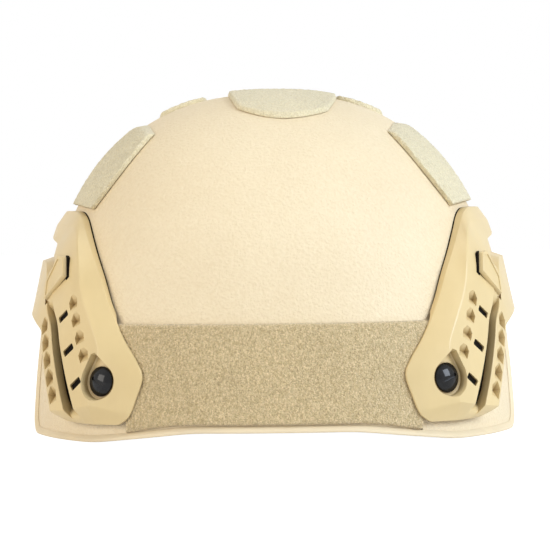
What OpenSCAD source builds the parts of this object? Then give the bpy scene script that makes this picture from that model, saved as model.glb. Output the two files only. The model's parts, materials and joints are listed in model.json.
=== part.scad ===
// High-cut combat helmet with side accessory rails, lying on its rim.
// +X is the wearer's right, +Y is forward and +Z is up. The origin is on the
// resting plane, under the middle of the helmet.
// A place on the shell is given as [around, height]: around is measured along
// the side of the shell from the ear line, positive to the rear.

/* [Shell] */
// Half width of the shell low on its sides
half_w = 117.5; // [113:0.5:122]
// Reach of the shell behind the ear line
rear_reach = 136; // [132:1:140]
// Reach of the shell ahead of the ear line
front_reach = 136; // [132:1:140]
// Height of the crown above the resting plane
crown_h = 170; // [165:1:176]
// Wall of the shell
wall = 8; // [6:0.5:9]
// Height where the sides start to curve in
dome_z = 20; // [15:1:25]
// Fullness of the dome, where 2 is an ellipse
dome_fullness = 2.42; // [2.3:0.02:2.6]
// Squareness of the plan, where 2 is an ellipse
plan_fullness = 2.45; // [2.3:0.05:2.6]
// How far the rim flares out
rim_flare = 6.5; // [4:0.5:8]
// Height where the flare starts
flare_z = 72; // [64:1:78]

/* [Rim] */
// Height of the rim at the middle of the brow
brow_z = 22; // [16:1:28]
// Height of the rim at the middle of the nape
nape_z = 7.6; // [5:0.2:9]
// Half width of the level stretch at the middle of the nape
nape_w = 34; // [25:1:45]
// Height of the cut over the ear
ear_z = 49; // [45:1:52]
// Distance of the ear cut's rear corner behind the ear line
ear_rear = 48; // [44:1:54]
// Distance of the ear cut's front corner ahead of the ear line
ear_front = 46; // [42:1:50]
// Radius of the corners of the ear cut
ear_r = 14; // [8:1:16]
// Thickness of the rubber edge trim
trim_t = 1.4; // [1:0.1:2]
// How far the legs of the edge trim reach up the shell
trim_h = 5; // [4:0.5:7]

/* [Hook and loop] */
// Thickness of the loop panels on the outside
loop_t = 2.2; // [1.5:0.1:2.5]
// Height of the rear panel's upper edge
panel_top = 56.4; // [53:0.2:60]
// Distance from the rim up to the rear panel's lower edge
panel_margin = 5.6; // [5.4:0.1:8]
// Half width of the crown patch
crown_patch_w = 28; // [24:1:30]
// How far the crown patch sits to the right of the middle
crown_patch_x = 3; // [0:0.5:4]
// Half length of the crown patch
crown_patch_l = 62; // [55:1:68]
// Diameter of the hook discs inside
disc_d = 40; // [32:1:44]
// Thickness of the hook discs
disc_t = 1.5; // [1:0.1:2]

/* [Rails] */
// Gap between the shell and the back of a rail, which the rear panel runs into
rail_gap = 3.2; // [3.1:0.1:3.5]
// Height of the rail's face over the shell, on its two legs
rail_face = 10.4; // [9.5:0.1:11.5]
// Height of the rail's lower band over the shell, on the arch between the legs
arch_face = 7.6; // [7:0.1:8.4]
// Height of the rail's crease over the shell, on the arch
arch_crease = 5.8; // [5.2:0.1:6.4]
// Height of the thin edge at the foot of the bevel
rail_edge = 4; // [3.7:0.1:5]
// Width of the dovetail groove at its mouth
groove_mouth = 6; // [5:0.1:6.5]
// Width of the dovetail groove at its floor
groove_floor = 8.4; // [7.5:0.1:9.5]
// Depth of the dovetail groove
groove_depth = 4.4; // [3.5:0.1:5]
// Length of a lashing slot
slot_l = 7.2; // [6:0.1:7.6]
// Width of a lashing slot
slot_w = 3.4; // [2.5:0.1:4]
// Distance between lashing slots
slot_pitch = 16.5; // [15:0.1:17]
// Width of a grip notch
notch_w = 6.4; // [5.4:0.1:6.8]
// Depth of a grip notch
notch_depth = 2; // [1.2:0.1:2.4]
// Distance between grip notches
notch_pitch = 8.6; // [8:0.1:9]

/* [Fasteners] */
// Diameter of the rail bolts' shank
bolt_d = 5; // [4:0.5:6]
// Diameter of the rail bolts' domed head
bolt_head_d = 14.2; // [13:0.2:16]
// Height of the rail bolts' domed head
bolt_head_h = 3.6; // [2.5:0.1:4.5]
// Diameter of the nut's flange
nut_d = 15; // [12:0.5:17]
// Thickness of the nut
nut_t = 3; // [2:0.1:4]
// Clearance of a shank in its bore
bore_fit = 0.2; // [0.1:0.05:0.4]
// Clearance between pieces that are glued or seated on a curved face
seat_fit = 0.3; // [0.25:0.05:0.4]
// Clearance between the shell's inner face and what sits on it
inner_fit = 0.5; // [0.45:0.05:0.7]

/* [Pads] */
// Thickness of the pads at their middle
pad_t = 18; // [14:1:20]

/* [Harness] */
// Thickness of the webbing
web_t = 1.8; // [1.2:0.1:2.2]
// Width of the webbing of the strap legs
web_w = 19; // [16:0.5:20]
// Distance of the straps' hinge bars from the middle of the helmet
bar_x = 76; // [72:1:80]
// Height of the hinge bars
bar_z = 17; // [15:0.5:20]
// Diameter of the hinge bars
bar_d = 3.2; // [2.5:0.1:4]
// Thickness of the steel strap hangers
hanger_t = 1.5; // [1:0.1:2]
// Running clearance in the harness
run_fit = 0.3; // [0.25:0.05:0.4]
// Distance from the hinge bars in to the chin strap's bar
leg_depth = 64; // [58:1:68]
// Distance of the front leg's loop ahead of the ear line
front_loop_y = 70; // [66:1:76]
// Distance of the rear leg's loop behind the ear line
rear_loop_y = 76; // [70:1:80]
// Thickness of the moulded strap junction
junction_t = 5; // [4.4:0.2:6]
// Width of the chin strap
chin_w = 24; // [20:1:26]
// Length of the chin strap from its bar to the buckle
chin_l = 34; // [28:1:38]

/* [Shroud] */
// Half width of the front shroud
shroud_w = 33; // [30:1:36]
// Half height of the front shroud
shroud_h = 29; // [26:1:31]
// Height of the middle of the shroud
shroud_z = 80; // [76:1:84]
// Thickness of the shroud
shroud_t = 6; // [5:0.5:7]
// Width of the shroud's socket at its top
socket_w = 34; // [30:1:38]
// Diameter of the shroud's screws
screw_d = 4; // [3:0.5:5]
// Diameter of the shroud screws' heads
screw_head_d = 9; // [8:0.5:10]

/* [Hidden] */

tan_shell = [0.86, 0.76, 0.60];
tan_rail = [0.80, 0.70, 0.50];
tan_loop = [0.72, 0.65, 0.49];
pale_loop = [0.78, 0.74, 0.64];
tan_pad = [0.62, 0.54, 0.40];
black_metal = [0.05, 0.05, 0.06];
steel = [0.55, 0.56, 0.58];

deg_mm = 2.2;
mid_around = 90 * deg_mm;
rest_z = trim_t + seat_fit;

// Surface of the shell, moved out by off
function flare(z) = rim_flare * pow(max(0, (flare_z - z) / (flare_z - rest_z)), 1.2);
function half_width(z, off) = half_w + off + flare(z);
function reach(angle, z, off) =
    (sin(angle) < 0 ? rear_reach : front_reach) + off + flare(z);
function dome_h(off) = crown_h - dome_z + off;
function draw_in(z, off) = z <= dome_z ? 1 :
    pow(max(0, 1 - pow((z - dome_z) / dome_h(off), dome_fullness)), 1 / dome_fullness);
function plan_sum(x, y) = pow(pow(abs(x), plan_fullness) + pow(abs(y), plan_fullness),
    1 / plan_fullness);
function skin_at(angle, z, off) =
    let (r = draw_in(z, off) / plan_sum(cos(angle) / half_width(z, off),
        sin(angle) / reach(angle, z, off)))
    [r * cos(angle), r * sin(angle), z];
function skin(p, off) = skin_at(-p.x / deg_mm, p.y, off);
function top_skin(p, off) =
    let (k = plan_sum(p.x / (half_w + off), p.y / ((p.y < 0 ? rear_reach : front_reach) + off)))
    [p.x, p.y, dome_z + dome_h(off) * pow(max(0, 1 - pow(k, dome_fullness)), 1 / dome_fullness)];

// Small vector helpers
function unit(v) = v / norm(v);
function mix(a, b, t) = a * (1 - t) + b * t;
function smooth(t) = t * t * (3 - 2 * t);
function flat(rows) = [for (row = rows) each row];

// Round a corner at b between a and c
function corner(a, b, c, r, steps) =
    let (u = unit(a - b), w = unit(c - b), half = acos(u * w) / 2, g = 180 - 2 * half,
        centre = b + unit(u + w) * r / sin(half),
        s = b + u * r / tan(half) - centre, e = b + w * r / tan(half) - centre)
    [for (i = [0 : steps]) let (t = i / steps)
        centre + (s * sin(g * (1 - t)) + e * sin(g * t)) / sin(g)];

// A smooth curve through a few points
function curve(points, t) =
    let (last = len(points) - 1, i = min(floor(t), last - 1), f = t - i,
        b = points[i], c = points[i + 1],
        a = i > 0 ? points[i - 1] : 2 * b - c,
        d = i < last - 1 ? points[i + 2] : 2 * c - b)
    0.5 * (2 * b + (c - a) * f + (2 * a - 5 * b + 4 * c - d) * f * f
        + (3 * b - 3 * c + d - a) * f * f * f);

// Two grids of points, joined into a closed skin
function grid_faces(rows, cols, first, flip) = [
    for (r = [0 : rows - 2], c = [0 : cols - 2])
        let (p = first + r * cols + c, q = p + 1, s = p + cols, t = s + 1)
        each flip ? [[p, q, t], [p, t, s]] : [[p, t, q], [p, s, t]]];
function strip_faces(a, b) = [
    for (i = [0 : len(a) - 2]) each [[a[i], a[i + 1], b[i + 1]], [a[i], b[i + 1], b[i]]]];

module slab(top, bottom) {
    rows = len(top);
    cols = len(top[0]);
    n = rows * cols;
    side_a = [for (c = [0 : cols - 1]) c];
    side_b = [for (c = [cols - 1 : -1 : 0]) (rows - 1) * cols + c];
    side_c = [for (r = [rows - 1 : -1 : 0]) r * cols];
    side_d = [for (r = [0 : rows - 1]) r * cols + cols - 1];
    polyhedron(
        points = concat(flat(top), flat(bottom)),
        faces = concat(
            grid_faces(rows, cols, 0, false),
            grid_faces(rows, cols, n, true),
            strip_faces(side_a, [for (i = side_a) i + n]),
            strip_faces(side_b, [for (i = side_b) i + n]),
            strip_faces(side_c, [for (i = side_c) i + n]),
            strip_faces(side_d, [for (i = side_d) i + n])));
}

// Directions of the shell's face at a place: forward along it, up it and out of it
function along_at(p) = unit(skin(p - [1, 0], 0) - skin(p + [1, 0], 0));
function out_at(p) = unit(cross(along_at(p), skin(p + [0, 1], 0) - skin(p - [0, 1], 0)));
// Height of an offset surface over the shell's face, along its normal there
function depth_at(p, off) = (skin(p, off) - skin(p, 0)) * out_at(p);

// Stand a solid on the shell, with its own +Z along the shell's normal
module at_skin(p) {
    along = along_at(p);
    out = out_at(p);
    up = cross(out, along);
    o = skin(p, 0);
    multmatrix([
        [along.x, up.x, out.x, o.x],
        [along.y, up.y, out.y, o.y],
        [along.z, up.z, out.z, o.z],
        [0, 0, 0, 1]])
        children();
}

// A clearance bore for a fastener, right through what it meets
module bore(d) cylinder(d = d + 2 * bore_fit, h = 60, center = true, $fn = 32);

module both_sides() {
    children();
    mirror([1, 0, 0]) children();
}

// Rim of the right half, from the middle of the nape to the middle of the brow
rim_lean = 7;
rim_corners = [
    [mid_around, nape_z, 0, 1], [mid_around - nape_w, nape_z, 120, 2],
    [mid_around - nape_w - 46, rest_z, 120, 2],
    [ear_rear + rim_lean, rest_z, ear_r, 4], [ear_rear - rim_lean, ear_z, ear_r, 4],
    [rim_lean - ear_front, ear_z, ear_r, 4], [-ear_front - rim_lean, rest_z, ear_r, 4],
    [-ear_front - 62, rest_z, 50, 2], [-ear_front - 110, brow_z, 50, 2],
    [-mid_around, brow_z, 0, 1]];
function rim_point(i) = [rim_corners[i].x, rim_corners[i].y];
rim_turns = [rim_point(0),
    for (i = [1 : len(rim_corners) - 2])
        each corner(rim_point(i - 1), rim_point(i), rim_point(i + 1),
            rim_corners[i][2], rim_corners[i][3]),
    rim_point(len(rim_corners) - 1)];
rim_step = 17;
rim_half = [
    for (i = [0 : len(rim_turns) - 2])
        let (gap = norm(rim_turns[i + 1] - rim_turns[i]), n = max(1, round(gap / rim_step)))
        each [for (k = [0 : n - 1]) mix(rim_turns[i], rim_turns[i + 1], k / n)]];
rim_n = len(rim_half);
// The whole rim: the left half mirrors the right one
rim = concat(rim_half, [rim_point(len(rim_corners) - 1)],
    [for (i = [rim_n - 1 : -1 : 1]) [-2 * mid_around - rim_half[i].x, rim_half[i].y]]);
rim_count = len(rim);

shell_rows = 14;
function shell_row(u, top_z, off) = [
    for (j = [0 : rim_count - 1])
        let (even = mid_around - 4 * mid_around * j / rim_count,
            around = mix(rim[j].x, even, smooth(u)))
        skin([around, rim[j].y + (top_z - rim[j].y) * sin(90 * u)], off)];
function bowl_rows(off) = [
    for (r = [0 : shell_rows - 1]) shell_row(r / shell_rows, crown_h + off, off)];
function ring_faces(rows, cols, first, flip) = [
    for (r = [0 : rows - 2], c = [0 : cols - 1])
        let (d = (c + 1) % cols, p = first + r * cols + c, q = first + r * cols + d,
            s = p + cols, t = q + cols)
        each flip ? [[p, q, t], [p, t, s]] : [[p, t, q], [p, s, t]]];

module bowl(outer_off, inner_off) {
    n = shell_rows * rim_count;
    last = (shell_rows - 1) * rim_count;
    tips = 2 * n;
    polyhedron(
        points = concat(flat(bowl_rows(outer_off)), flat(bowl_rows(inner_off)),
            [[0, 0, crown_h + outer_off], [0, 0, crown_h + inner_off]]),
        faces = concat(
            ring_faces(shell_rows, rim_count, 0, false),
            ring_faces(shell_rows, rim_count, n, true),
            [for (c = [0 : rim_count - 1]) let (d = (c + 1) % rim_count)
                each [
                    [last + c, tips, last + d],
                    [n + last + c, n + last + d, tips + 1],
                    [c, d, n + d],
                    [c, n + d, n + c]]]));
}

module shell() color(tan_shell) difference() {
    bowl(0, -wall);
    both_sides() for (p = [rear_bolt, front_bolt])
        at_skin(p) bore(bolt_d);
    for (p = shroud_screw_at) at_skin(p) bore(screw_d);
}

// The edge trim's section: distance in from the rim, and offset from the shell
trim_section = [
    [trim_h, seat_fit + trim_t], [0, seat_fit + trim_t],
    [-rest_z, seat_fit], [-rest_z, -wall - seat_fit],
    [0, -wall - seat_fit - trim_t],
    [trim_h, -wall - seat_fit - trim_t], [trim_h, -wall - seat_fit],
    [-seat_fit, -wall - seat_fit], [-seat_fit, seat_fit], [trim_h, seat_fit]];

module edge_trim() {
    n = len(trim_section);
    points = [for (j = [0 : rim_count - 1])
        let (before = rim[(j + rim_count - 1) % rim_count], after = rim[(j + 1) % rim_count],
            wrap = j == 0 || j == rim_count - 1,
            run = wrap ? [-1, 0] : unit(after - before), away = [run.y, -run.x])
        each [for (s = trim_section) skin(rim[j] + away * s[0], s[1])]];
    color(tan_shell) polyhedron(points = points,
        faces = [for (j = [0 : rim_count - 1], i = [0 : n - 1])
            let (k = (j + 1) % rim_count, m = (i + 1) % n,
                p = j * n + i, q = j * n + m, s = k * n + i, t = k * n + m)
            each [[p, s, t], [p, t, q]]]);
}

// A rounded patch: u and v run from -1 to 1 across it
function rounded(u, v, half, roundness) = [
    half.x * u * sqrt(1 - roundness * v * v / 2), half.y * v * sqrt(1 - roundness * u * u / 2)];
function steps(n) = [for (i = [0 : n]) 2 * i / n - 1];

module side_patch(centre, half, slant, roundness, low, high, cols, rows) {
    function spot(u, v) = let (q = rounded(u, v, half, roundness))
        centre + [q.x, q.y + slant * q.x];
    slab([for (v = steps(rows)) [for (u = steps(cols)) skin(spot(-u, v), high)]],
        [for (v = steps(rows)) [for (u = steps(cols)) skin(spot(-u, v), low)]]);
}

// The side loop patch's rear end leans back and dips behind the rail's arch
side_patch_low = 113.2;
side_patch_half = [54, (crown_h - 16.5 - side_patch_low) / 2];
side_patch_centre = [46, side_patch_low + side_patch_half.y];
side_patch_lean = 0.4;
side_patch_dip = 4;
module side_loop_patch() {
    function spot(u, v) = let (q = rounded(u, v, side_patch_half, 0.3))
        side_patch_centre
            + [q.x + side_patch_lean * q.y, q.y - side_patch_dip * pow(max(0, u), 2)];
    function layer(off) = [for (v = steps(6)) [for (u = steps(14)) skin(spot(-u, v), off)]];
    slab(layer(seat_fit + loop_t), layer(seat_fit));
}

module top_patch(centre, half, roundness, low, high, cols, rows) {
    function spot(u, v) = centre + rounded(u, v, half, roundness);
    slab([for (v = steps(rows)) [for (u = steps(cols)) top_skin(spot(u, v), high)]],
        [for (v = steps(rows)) [for (u = steps(cols)) top_skin(spot(u, v), low)]]);
}

module rear_loop_panel() {
    cols = 22;
    rows = 4;
    function rim_rise(d) = smooth(min(1, max(0, (abs(d) - nape_w) / 46)));
    function half_at(v) = panel_half + 8 * v * v;
    function spot(u, v) =
        let (low = panel_margin + mix(nape_z, rest_z, rim_rise(u * half_at(v))))
        [mid_around + u * half_at(v), mix(low, panel_top, (v + 1) / 2)];
    color(tan_loop) slab(
        [for (v = steps(rows)) [for (u = steps(cols)) skin(spot(-u, v), seat_fit + loop_t)]],
        [for (v = steps(rows)) [for (u = steps(cols)) skin(spot(-u, v), seat_fit)]]);
}
panel_half = 55;

module crown_loop_patch() color(pale_loop)
    top_patch([crown_patch_x, -15], [crown_patch_w, crown_patch_l], 0.5, seat_fit, seat_fit + loop_t, 8, 14);

module side_loop_patch_right() color(pale_loop) side_loop_patch();
module side_loop_patch_left() color(pale_loop) mirror([1, 0, 0]) side_loop_patch();

front_patch_half = [13, 26];
front_patch_at = [crown_patch_x + crown_patch_w + front_patch_half.x + 2.5, 20];
module front_loop_patch() color(pale_loop)
    top_patch(front_patch_at, front_patch_half, 0.5, seat_fit, seat_fit + loop_t, 6, 8);
module front_loop_patch_right() front_loop_patch();
module front_loop_patch_left() mirror([1, 0, 0]) front_loop_patch();

// Rails: each is lofted between four lines drawn on the shell, rear end first
edge_line = [[133, 9.2], [138.2, 13.2], [141.6, 21.5], [145.2, 31.3], [141.5, 39], [134.5, 49.8],
    [124.5, 65.8], [115, 81.5], [101.5, 98.4], [85.5, 109.4], [60, 110], [0, 109.5], [-46, 107],
    [-80, 90], [-104, 62], [-118, 32], [-112, 17]];
crease_line = [[120, 8.9], [121, 16.5], [122.5, 24], [124.3, 33], [124.6, 41], [123.3, 48],
    [117.5, 59], [110.5, 71], [104, 87.5], [92, 100.5], [68, 103.5], [0, 102.5], [-42, 99.5],
    [-72, 84], [-94, 58], [-108, 32], [-107, 17]];
groove_line = [[113, 8.9], [110.4, 14.5], [107.3, 21.8], [103.4, 31], [99.9, 39.3], [96.8, 46.7],
    [92.9, 55.9], [86.5, 64], [79, 78], [68, 88.5], [50, 91.3], [0, 91.5], [-34, 88],
    [-56, 74], [-74, 50], [-89, 30], [-95, 17]];
lip_line = [[103, 9.6], [97.2, 13.2], [94.4, 18.5], [91.3, 25.9], [87.7, 34.2], [84.6, 41.5],
    [80.7, 50.7], [72, 54.3], [62, 56.3], [48, 57], [30, 57], [0, 56.5], [-30, 56],
    [-44, 53], [-58, 40], [-73, 24], [-80, 15]];
rail_steps = 3;

rear_bolt = [124.6, 28.7];
front_bolt = [-100, 32];

// How far a station belongs to the arch, and how open the groove is beside the plate
function clip(t) = smooth(min(1, max(0, t)));
function on_arch(t) = clip((t - 7.5) / 2.5) * clip((14 - t) / 2);
function groove_open(t) = t < 7.6 ? clip(6.8 - t) : clip(t - 8.2);
function arch_gap(t) = mix(rail_gap, arch_back, on_arch(t));
arch_back = 1.2;
arch_mouth = 14;
arch_floor = 10;
arch_bottom = 2.8;

// One station of the rail: places and heights over the shell, from edge to lip
function rail_station(t) =
    let (last = len(edge_line) - 1, end = min(1, min(t, last - t) / 1.2), arch = on_arch(t),
        edge = curve(edge_line, t), crease = curve(crease_line, t),
        groove = curve(groove_line, t), lip = curve(lip_line, t),
        band = mix(rail_edge, mix(rail_face, arch_face, arch), end),
        face = mix(rail_edge, mix(rail_face, arch_crease, arch), end),
        open = groove_open(t) * end * end,
        floor_off = mix(min(band, face), mix(rail_face - groove_depth, arch_bottom, arch), open),
        mouth = mix(groove_mouth, arch_mouth, arch) / 2,
        base = mix(mouth * 0.9, mix(groove_floor, arch_floor, arch) / 2, open),
        to_edge = unit(crease - groove), to_lip = unit(lip - groove))
    [
        [edge, rail_edge],
        [crease, face],
        [groove + to_edge * mouth, face],
        [groove + to_edge * base, floor_off],
        [groove + to_lip * base, floor_off],
        [groove + to_lip * mouth, band],
        [mix(groove, lip, 0.93), band + 0.2],
        [lip, mix(rail_edge, band, 0.4 * end)]];
rail_under = [0, 1, 3, 2, 5, 4, 6, 7];

module rail_body() {
    last = len(edge_line) - 1;
    stations = [for (i = [0 : last * rail_steps]) rail_station(i / rail_steps)];
    slab([for (s = stations) [for (q = s) skin(q[0], q[1])]],
        [for (i = [0 : len(stations) - 1])
            [for (k = rail_under) skin(stations[i][k][0], arch_gap(i / rail_steps))]]);
}

// Places on the straight rear leg: s runs down it and v across it, to the rear
leg_top = [101.3, 57.3];
leg_run = unit([12.9, -30.4]);
leg_tilt = atan2(-leg_run.x, -leg_run.y);
function on_leg(s, v) = leg_top + s * leg_run + v * [-leg_run.y, leg_run.x];

module on_face(p, turn) at_skin(p) translate([0, 0, depth_at(p, rail_face)]) rotate(turn)
    children();

// A notch goes in from a point above and comes out again below its deepest line
module notch() {
    side = notch_w / 2;
    deep = side * 0.75;
    polyhedron(
        points = [[0, 5.4, 1], [-side - 0.6, 0.2, 1], [-side - 0.2, -5.8, 1], [side + 0.2, -5.8, 1],
            [side + 0.6, 0.2, 1], [-deep, 0, -notch_depth], [deep, 0, -notch_depth]],
        faces = [[0, 1, 2, 3, 4], [0, 5, 1], [0, 4, 6], [0, 6, 5], [1, 5, 2], [4, 3, 6],
            [2, 5, 6, 3]]);
}

// A blank raised plate where the arch turns into the rear leg
plate_at = [89, 75.5];
plate_up = 1.4;
module plate_outline() polygon([[-7.3, 9.8], [-11.6, 0.8], [5.3, -11.2], [7.2, -3.1], [-2.1, 10.6]]);

module rail() color(tan_rail) {
    cut_rail();
    on_face(plate_at, 0) translate([0, 0, -2.8])
        linear_extrude(height = 2.8 + plate_up) plate_outline();
}

module cut_rail() difference() {
    union() {
        rail_body();
        for (p = [rear_bolt, front_bolt])
            at_skin(p) translate([0, 0, seat_fit]) cylinder(d = bolt_head_d, h = rail_edge, $fn = 40);
    }
    on_face(plate_at, 0) translate([0, 0, -2])
        linear_extrude(height = 8) scale(1.14) plate_outline();
    for (p = [rear_bolt, front_bolt])
        at_skin(p) {
            bore(bolt_d);
            translate([0, 0, head_seat])
                linear_extrude(height = 20) {
                    circle(r = recess_r, $fn = 48);
                    rotate(recess_turn) square(0.97 * recess_r);
                }
        }
    for (i = [0 : 2])
        on_face(on_leg(i * slot_pitch, 0), leg_tilt - 16)
            translate([-slot_l / 2, -slot_w / 2, -4.5]) cube([slot_l, slot_w, 12]);
    for (i = [0 : 3])
        on_face(on_leg(i * notch_pitch - 4.5, 7.8), leg_tilt) notch();
    for (i = [0 : 4])
        on_face(on_leg(i * notch_pitch - 2.4, -15.6), leg_tilt) notch();
}
recess_turn = 33;
recess_r = bolt_head_d / 2 + 1.6;
module rail_right() rail();
module rail_left() mirror([1, 0, 0]) rail();

// Bolts go in from the outside and take a nut inside the shell
head_seat = rail_edge + 1.6;
module bolt(stack) color(black_metal) difference() {
    seat = head_seat;
    union() {
        translate([0, 0, stack - nut_t - 1])
            cylinder(d = bolt_d, h = seat - stack + nut_t + 1.5, $fn = 32);
        translate([0, 0, seat]) rotate_extrude($fn = 48) intersection() {
            translate([0, -bolt_head_d]) square([bolt_head_d / 2, bolt_head_d * 2]);
            square([bolt_head_d, bolt_head_h]);
            translate([0, bolt_head_h - dome_r]) circle(r = dome_r, $fn = 96);
        }
    }
    translate([-bolt_head_d / 3, -0.8, seat + bolt_head_h - 1.4]) cube([bolt_head_d * 2 / 3, 1.6, 5]);
}
dome_r = (pow(bolt_head_d / 2, 2) + pow(bolt_head_h - 0.8, 2)) / (2 * (bolt_head_h - 0.8));

module nut() color(steel) difference() {
    cylinder(d = nut_d, h = nut_t, $fn = 40);
    bore(bolt_d);
}

module rail_bolts_rear() both_sides() at_skin(rear_bolt) bolt(rear_stack);
module rail_bolts_front() both_sides() at_skin(front_bolt) bolt(front_stack);
module rail_nuts_rear() both_sides() at_skin(rear_bolt)
    translate([0, 0, rear_stack - nut_t]) nut();
module rail_nuts_front() both_sides() at_skin(front_bolt)
    translate([0, 0, front_stack - nut_t]) nut();

// Pads: the outer face follows the shell and the inner one is crowned
crown_pad_at = [0, -4];
crown_pad_half = [0.43 * half_w, 0.43 * rear_reach];
rear_pad_at = [mid_around, 72];
front_pad_at = [-mid_around, 82];
front_side_pad_at = [-60, 96];
rear_side_pad_at = [66, 92];
pad_back = -wall - inner_fit - disc_t - seat_fit;
function swell(u, v) = sqrt((1 - pow(u, 4)) * (1 - pow(v, 4)));
function pad_low(u, v) = pad_back - pad_t * (0.3 + 0.7 * swell(u, v));

module side_cushion(centre, half, slant, cols, rows) {
    function spot(u, v, draw) = let (q = rounded(u, v, half * draw, 0.8))
        centre + [q.x, q.y + slant * q.x];
    slab([for (v = steps(rows)) [for (u = steps(cols)) skin(spot(-u, v, 1), pad_back)]],
        [for (v = steps(rows)) [for (u = steps(cols)) skin(spot(-u, v, 0.94), pad_low(u, v))]]);
}
module crown_pad() {
    function spot(u, v, draw) = crown_pad_at + rounded(u, v, crown_pad_half * draw, 0.95);
    color(tan_pad) slab(
        [for (v = steps(10)) [for (u = steps(10)) top_skin(spot(u, v, 1), pad_back)]],
        [for (v = steps(10)) [for (u = steps(10)) top_skin(spot(u, v, 0.94), pad_low(u, v))]]);
}
module front_pad() color(tan_pad) side_cushion(front_pad_at, [62, 24], 0, 12, 8);
module rear_pad() color(tan_pad) side_cushion(rear_pad_at, [50, 24], 0, 12, 8);
module side_pad_front_right() color(tan_pad) side_cushion(front_side_pad_at, [36, 20], 0.1, 10, 8);
module side_pad_front_left() mirror([1, 0, 0]) side_pad_front_right();
module side_pad_rear_right() color(tan_pad) side_cushion(rear_side_pad_at, [36, 20], -0.1, 10, 8);
module side_pad_rear_left() mirror([1, 0, 0]) side_pad_rear_right();

module hook_discs() color(black_metal) {
    half = [disc_d / 2, disc_d / 2];
    low = -wall - inner_fit - disc_t;
    high = -wall - inner_fit;
    top_patch(crown_pad_at, half, 0.98, low, high, 4, 4);
    side_patch(rear_pad_at, half, 0, 0.98, low, high, 4, 4);
    both_sides() for (p = [front_side_pad_at, rear_side_pad_at, front_pad_at + [38, 0]])
        side_patch(p, half * 0.8, 0, 0.98, low, high, 4, 4);
}

// Front shroud for a night-vision mount, over the brow
shroud_at = [-mid_around, shroud_z];
shroud_screw_at = [[-mid_around - 24, shroud_z - 20], [-mid_around + 24, shroud_z - 20],
    [-mid_around, shroud_z + 22]];
socket_wall = 2;
module shroud() color(tan_rail) difference() {
    side_patch(shroud_at, [shroud_w, shroud_h], 0, 0.55, seat_fit, seat_fit + shroud_t, 10, 8);
    at_skin([shroud_at.x, shroud_z - 5]) translate([0, 0, seat_fit + socket_wall])
        linear_extrude(height = 2 * shroud_t)
            polygon([[-socket_w / 2 + 4, -12], [socket_w / 2 - 4, -12],
                [socket_w / 2, 12], [-socket_w / 2, 12]]);
    for (p = shroud_screw_at) at_skin(p) {
        bore(screw_d);
        translate([0, 0, screw_seat]) cylinder(d = screw_head_d + 1, h = 9, $fn = 40);
    }
}
screw_seat = seat_fit + shroud_t - 2.6;
screw_nut_t = 1.2;
module shroud_screws() color(black_metal) for (p = shroud_screw_at) at_skin(p) difference() {
    union() {
        translate([0, 0, depth_at(p, band_out) - 0.8])
            cylinder(d = screw_d, h = screw_seat + 1 - depth_at(p, band_out), $fn = 32);
        translate([0, 0, screw_seat]) cylinder(d = screw_head_d, h = 2.2, $fn = 40);
    }
    translate([-screw_head_d / 3, -0.6, screw_seat + 1.2]) cube([screw_head_d * 2 / 3, 1.2, 3]);
}
module shroud_nuts() color(steel) for (p = shroud_screw_at) at_skin(p) difference() {
    translate([0, 0, depth_at(p, band_out) - 0.15 - screw_nut_t])
        cylinder(d = 11, h = screw_nut_t, $fn = 40);
    bore(screw_d);
}

// Nape band: webbing clamped under the two rear nuts, with a cushion on it
band_out = -wall - inner_fit;
band_in = band_out - web_t;
ring_lift = 0.65;
rear_stack = depth_at(rear_bolt, band_in) - ring_lift - hanger_t;
front_stack = depth_at(front_bolt, band_out) - ring_lift - hanger_t;
nape_at = [mid_around, 31];
nape_half = [mid_around - rear_bolt.x + 10, 11];
function nape_spot(u, v) = nape_at + [-u * nape_half.x, v * nape_half.y];
module nape_band() color(tan_pad) difference() {
    slab([for (v = steps(1)) [for (u = steps(16)) skin(nape_spot(u, v), band_out)]],
        [for (v = steps(1)) [for (u = steps(16)) skin(nape_spot(u, v), band_in)]]);
    both_sides() at_skin(rear_bolt) bore(bolt_d);
}
module nape_pad() {
    half = [40, 15];
    function low(u, v) = band_in - seat_fit - 15 * (0.3 + 0.7 * swell(u, v));
    color(tan_pad) slab(
        [for (v = steps(6)) [for (u = steps(12))
            skin(nape_at + rounded(-u, v, half, 0.7), band_in - seat_fit)]],
        [for (v = steps(6)) [for (u = steps(12))
            skin(nape_at + rounded(-u, v, half * 0.94, 0.7), low(u, v))]]);
}

// Strap hangers: a steel ring under each nut, with an arm down to a hinge bar
module hanger(bolt_at, stack, loop_y) color(steel) {
    loop_w = web_w + 2 * run_fit;
    near_y = loop_y - sign(loop_y) * loop_w / 2;
    far_y = loop_y + sign(loop_y) * (loop_w / 2 + 2);
    difference() {
        union() {
            at_skin(bolt_at) translate([0, 0, stack]) {
                cylinder(d = nut_d, h = hanger_t, $fn = 40);
                translate([-3, -nut_d / 2 - 4, 0]) cube([6, nut_d / 2, hanger_t]);
            }
            hull() {
                at_skin(bolt_at) translate([-2.4, -nut_d / 2 - 3.6, stack + 0.2])
                    cube([4.8, 2.6, hanger_t - 0.4]);
                translate([bar_x - 2.2, far_y - 1, bar_z - 2.2]) cube([4.4, 2, 4.4]);
            }
            translate([bar_x, near_y - sign(loop_y) * 2, bar_z]) rotate([sign(loop_y) > 0 ? -90 : 90, 0, 0])
                cylinder(d = bar_d, h = loop_w + 4, $fn = 32);
        }
        at_skin(bolt_at) bore(bolt_d);
    }
}
module strap_hangers_front() both_sides() hanger(front_bolt, front_stack, front_loop_y);
module strap_hangers_rear() both_sides() hanger(rear_bolt, rear_stack, -rear_loop_y);

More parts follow.
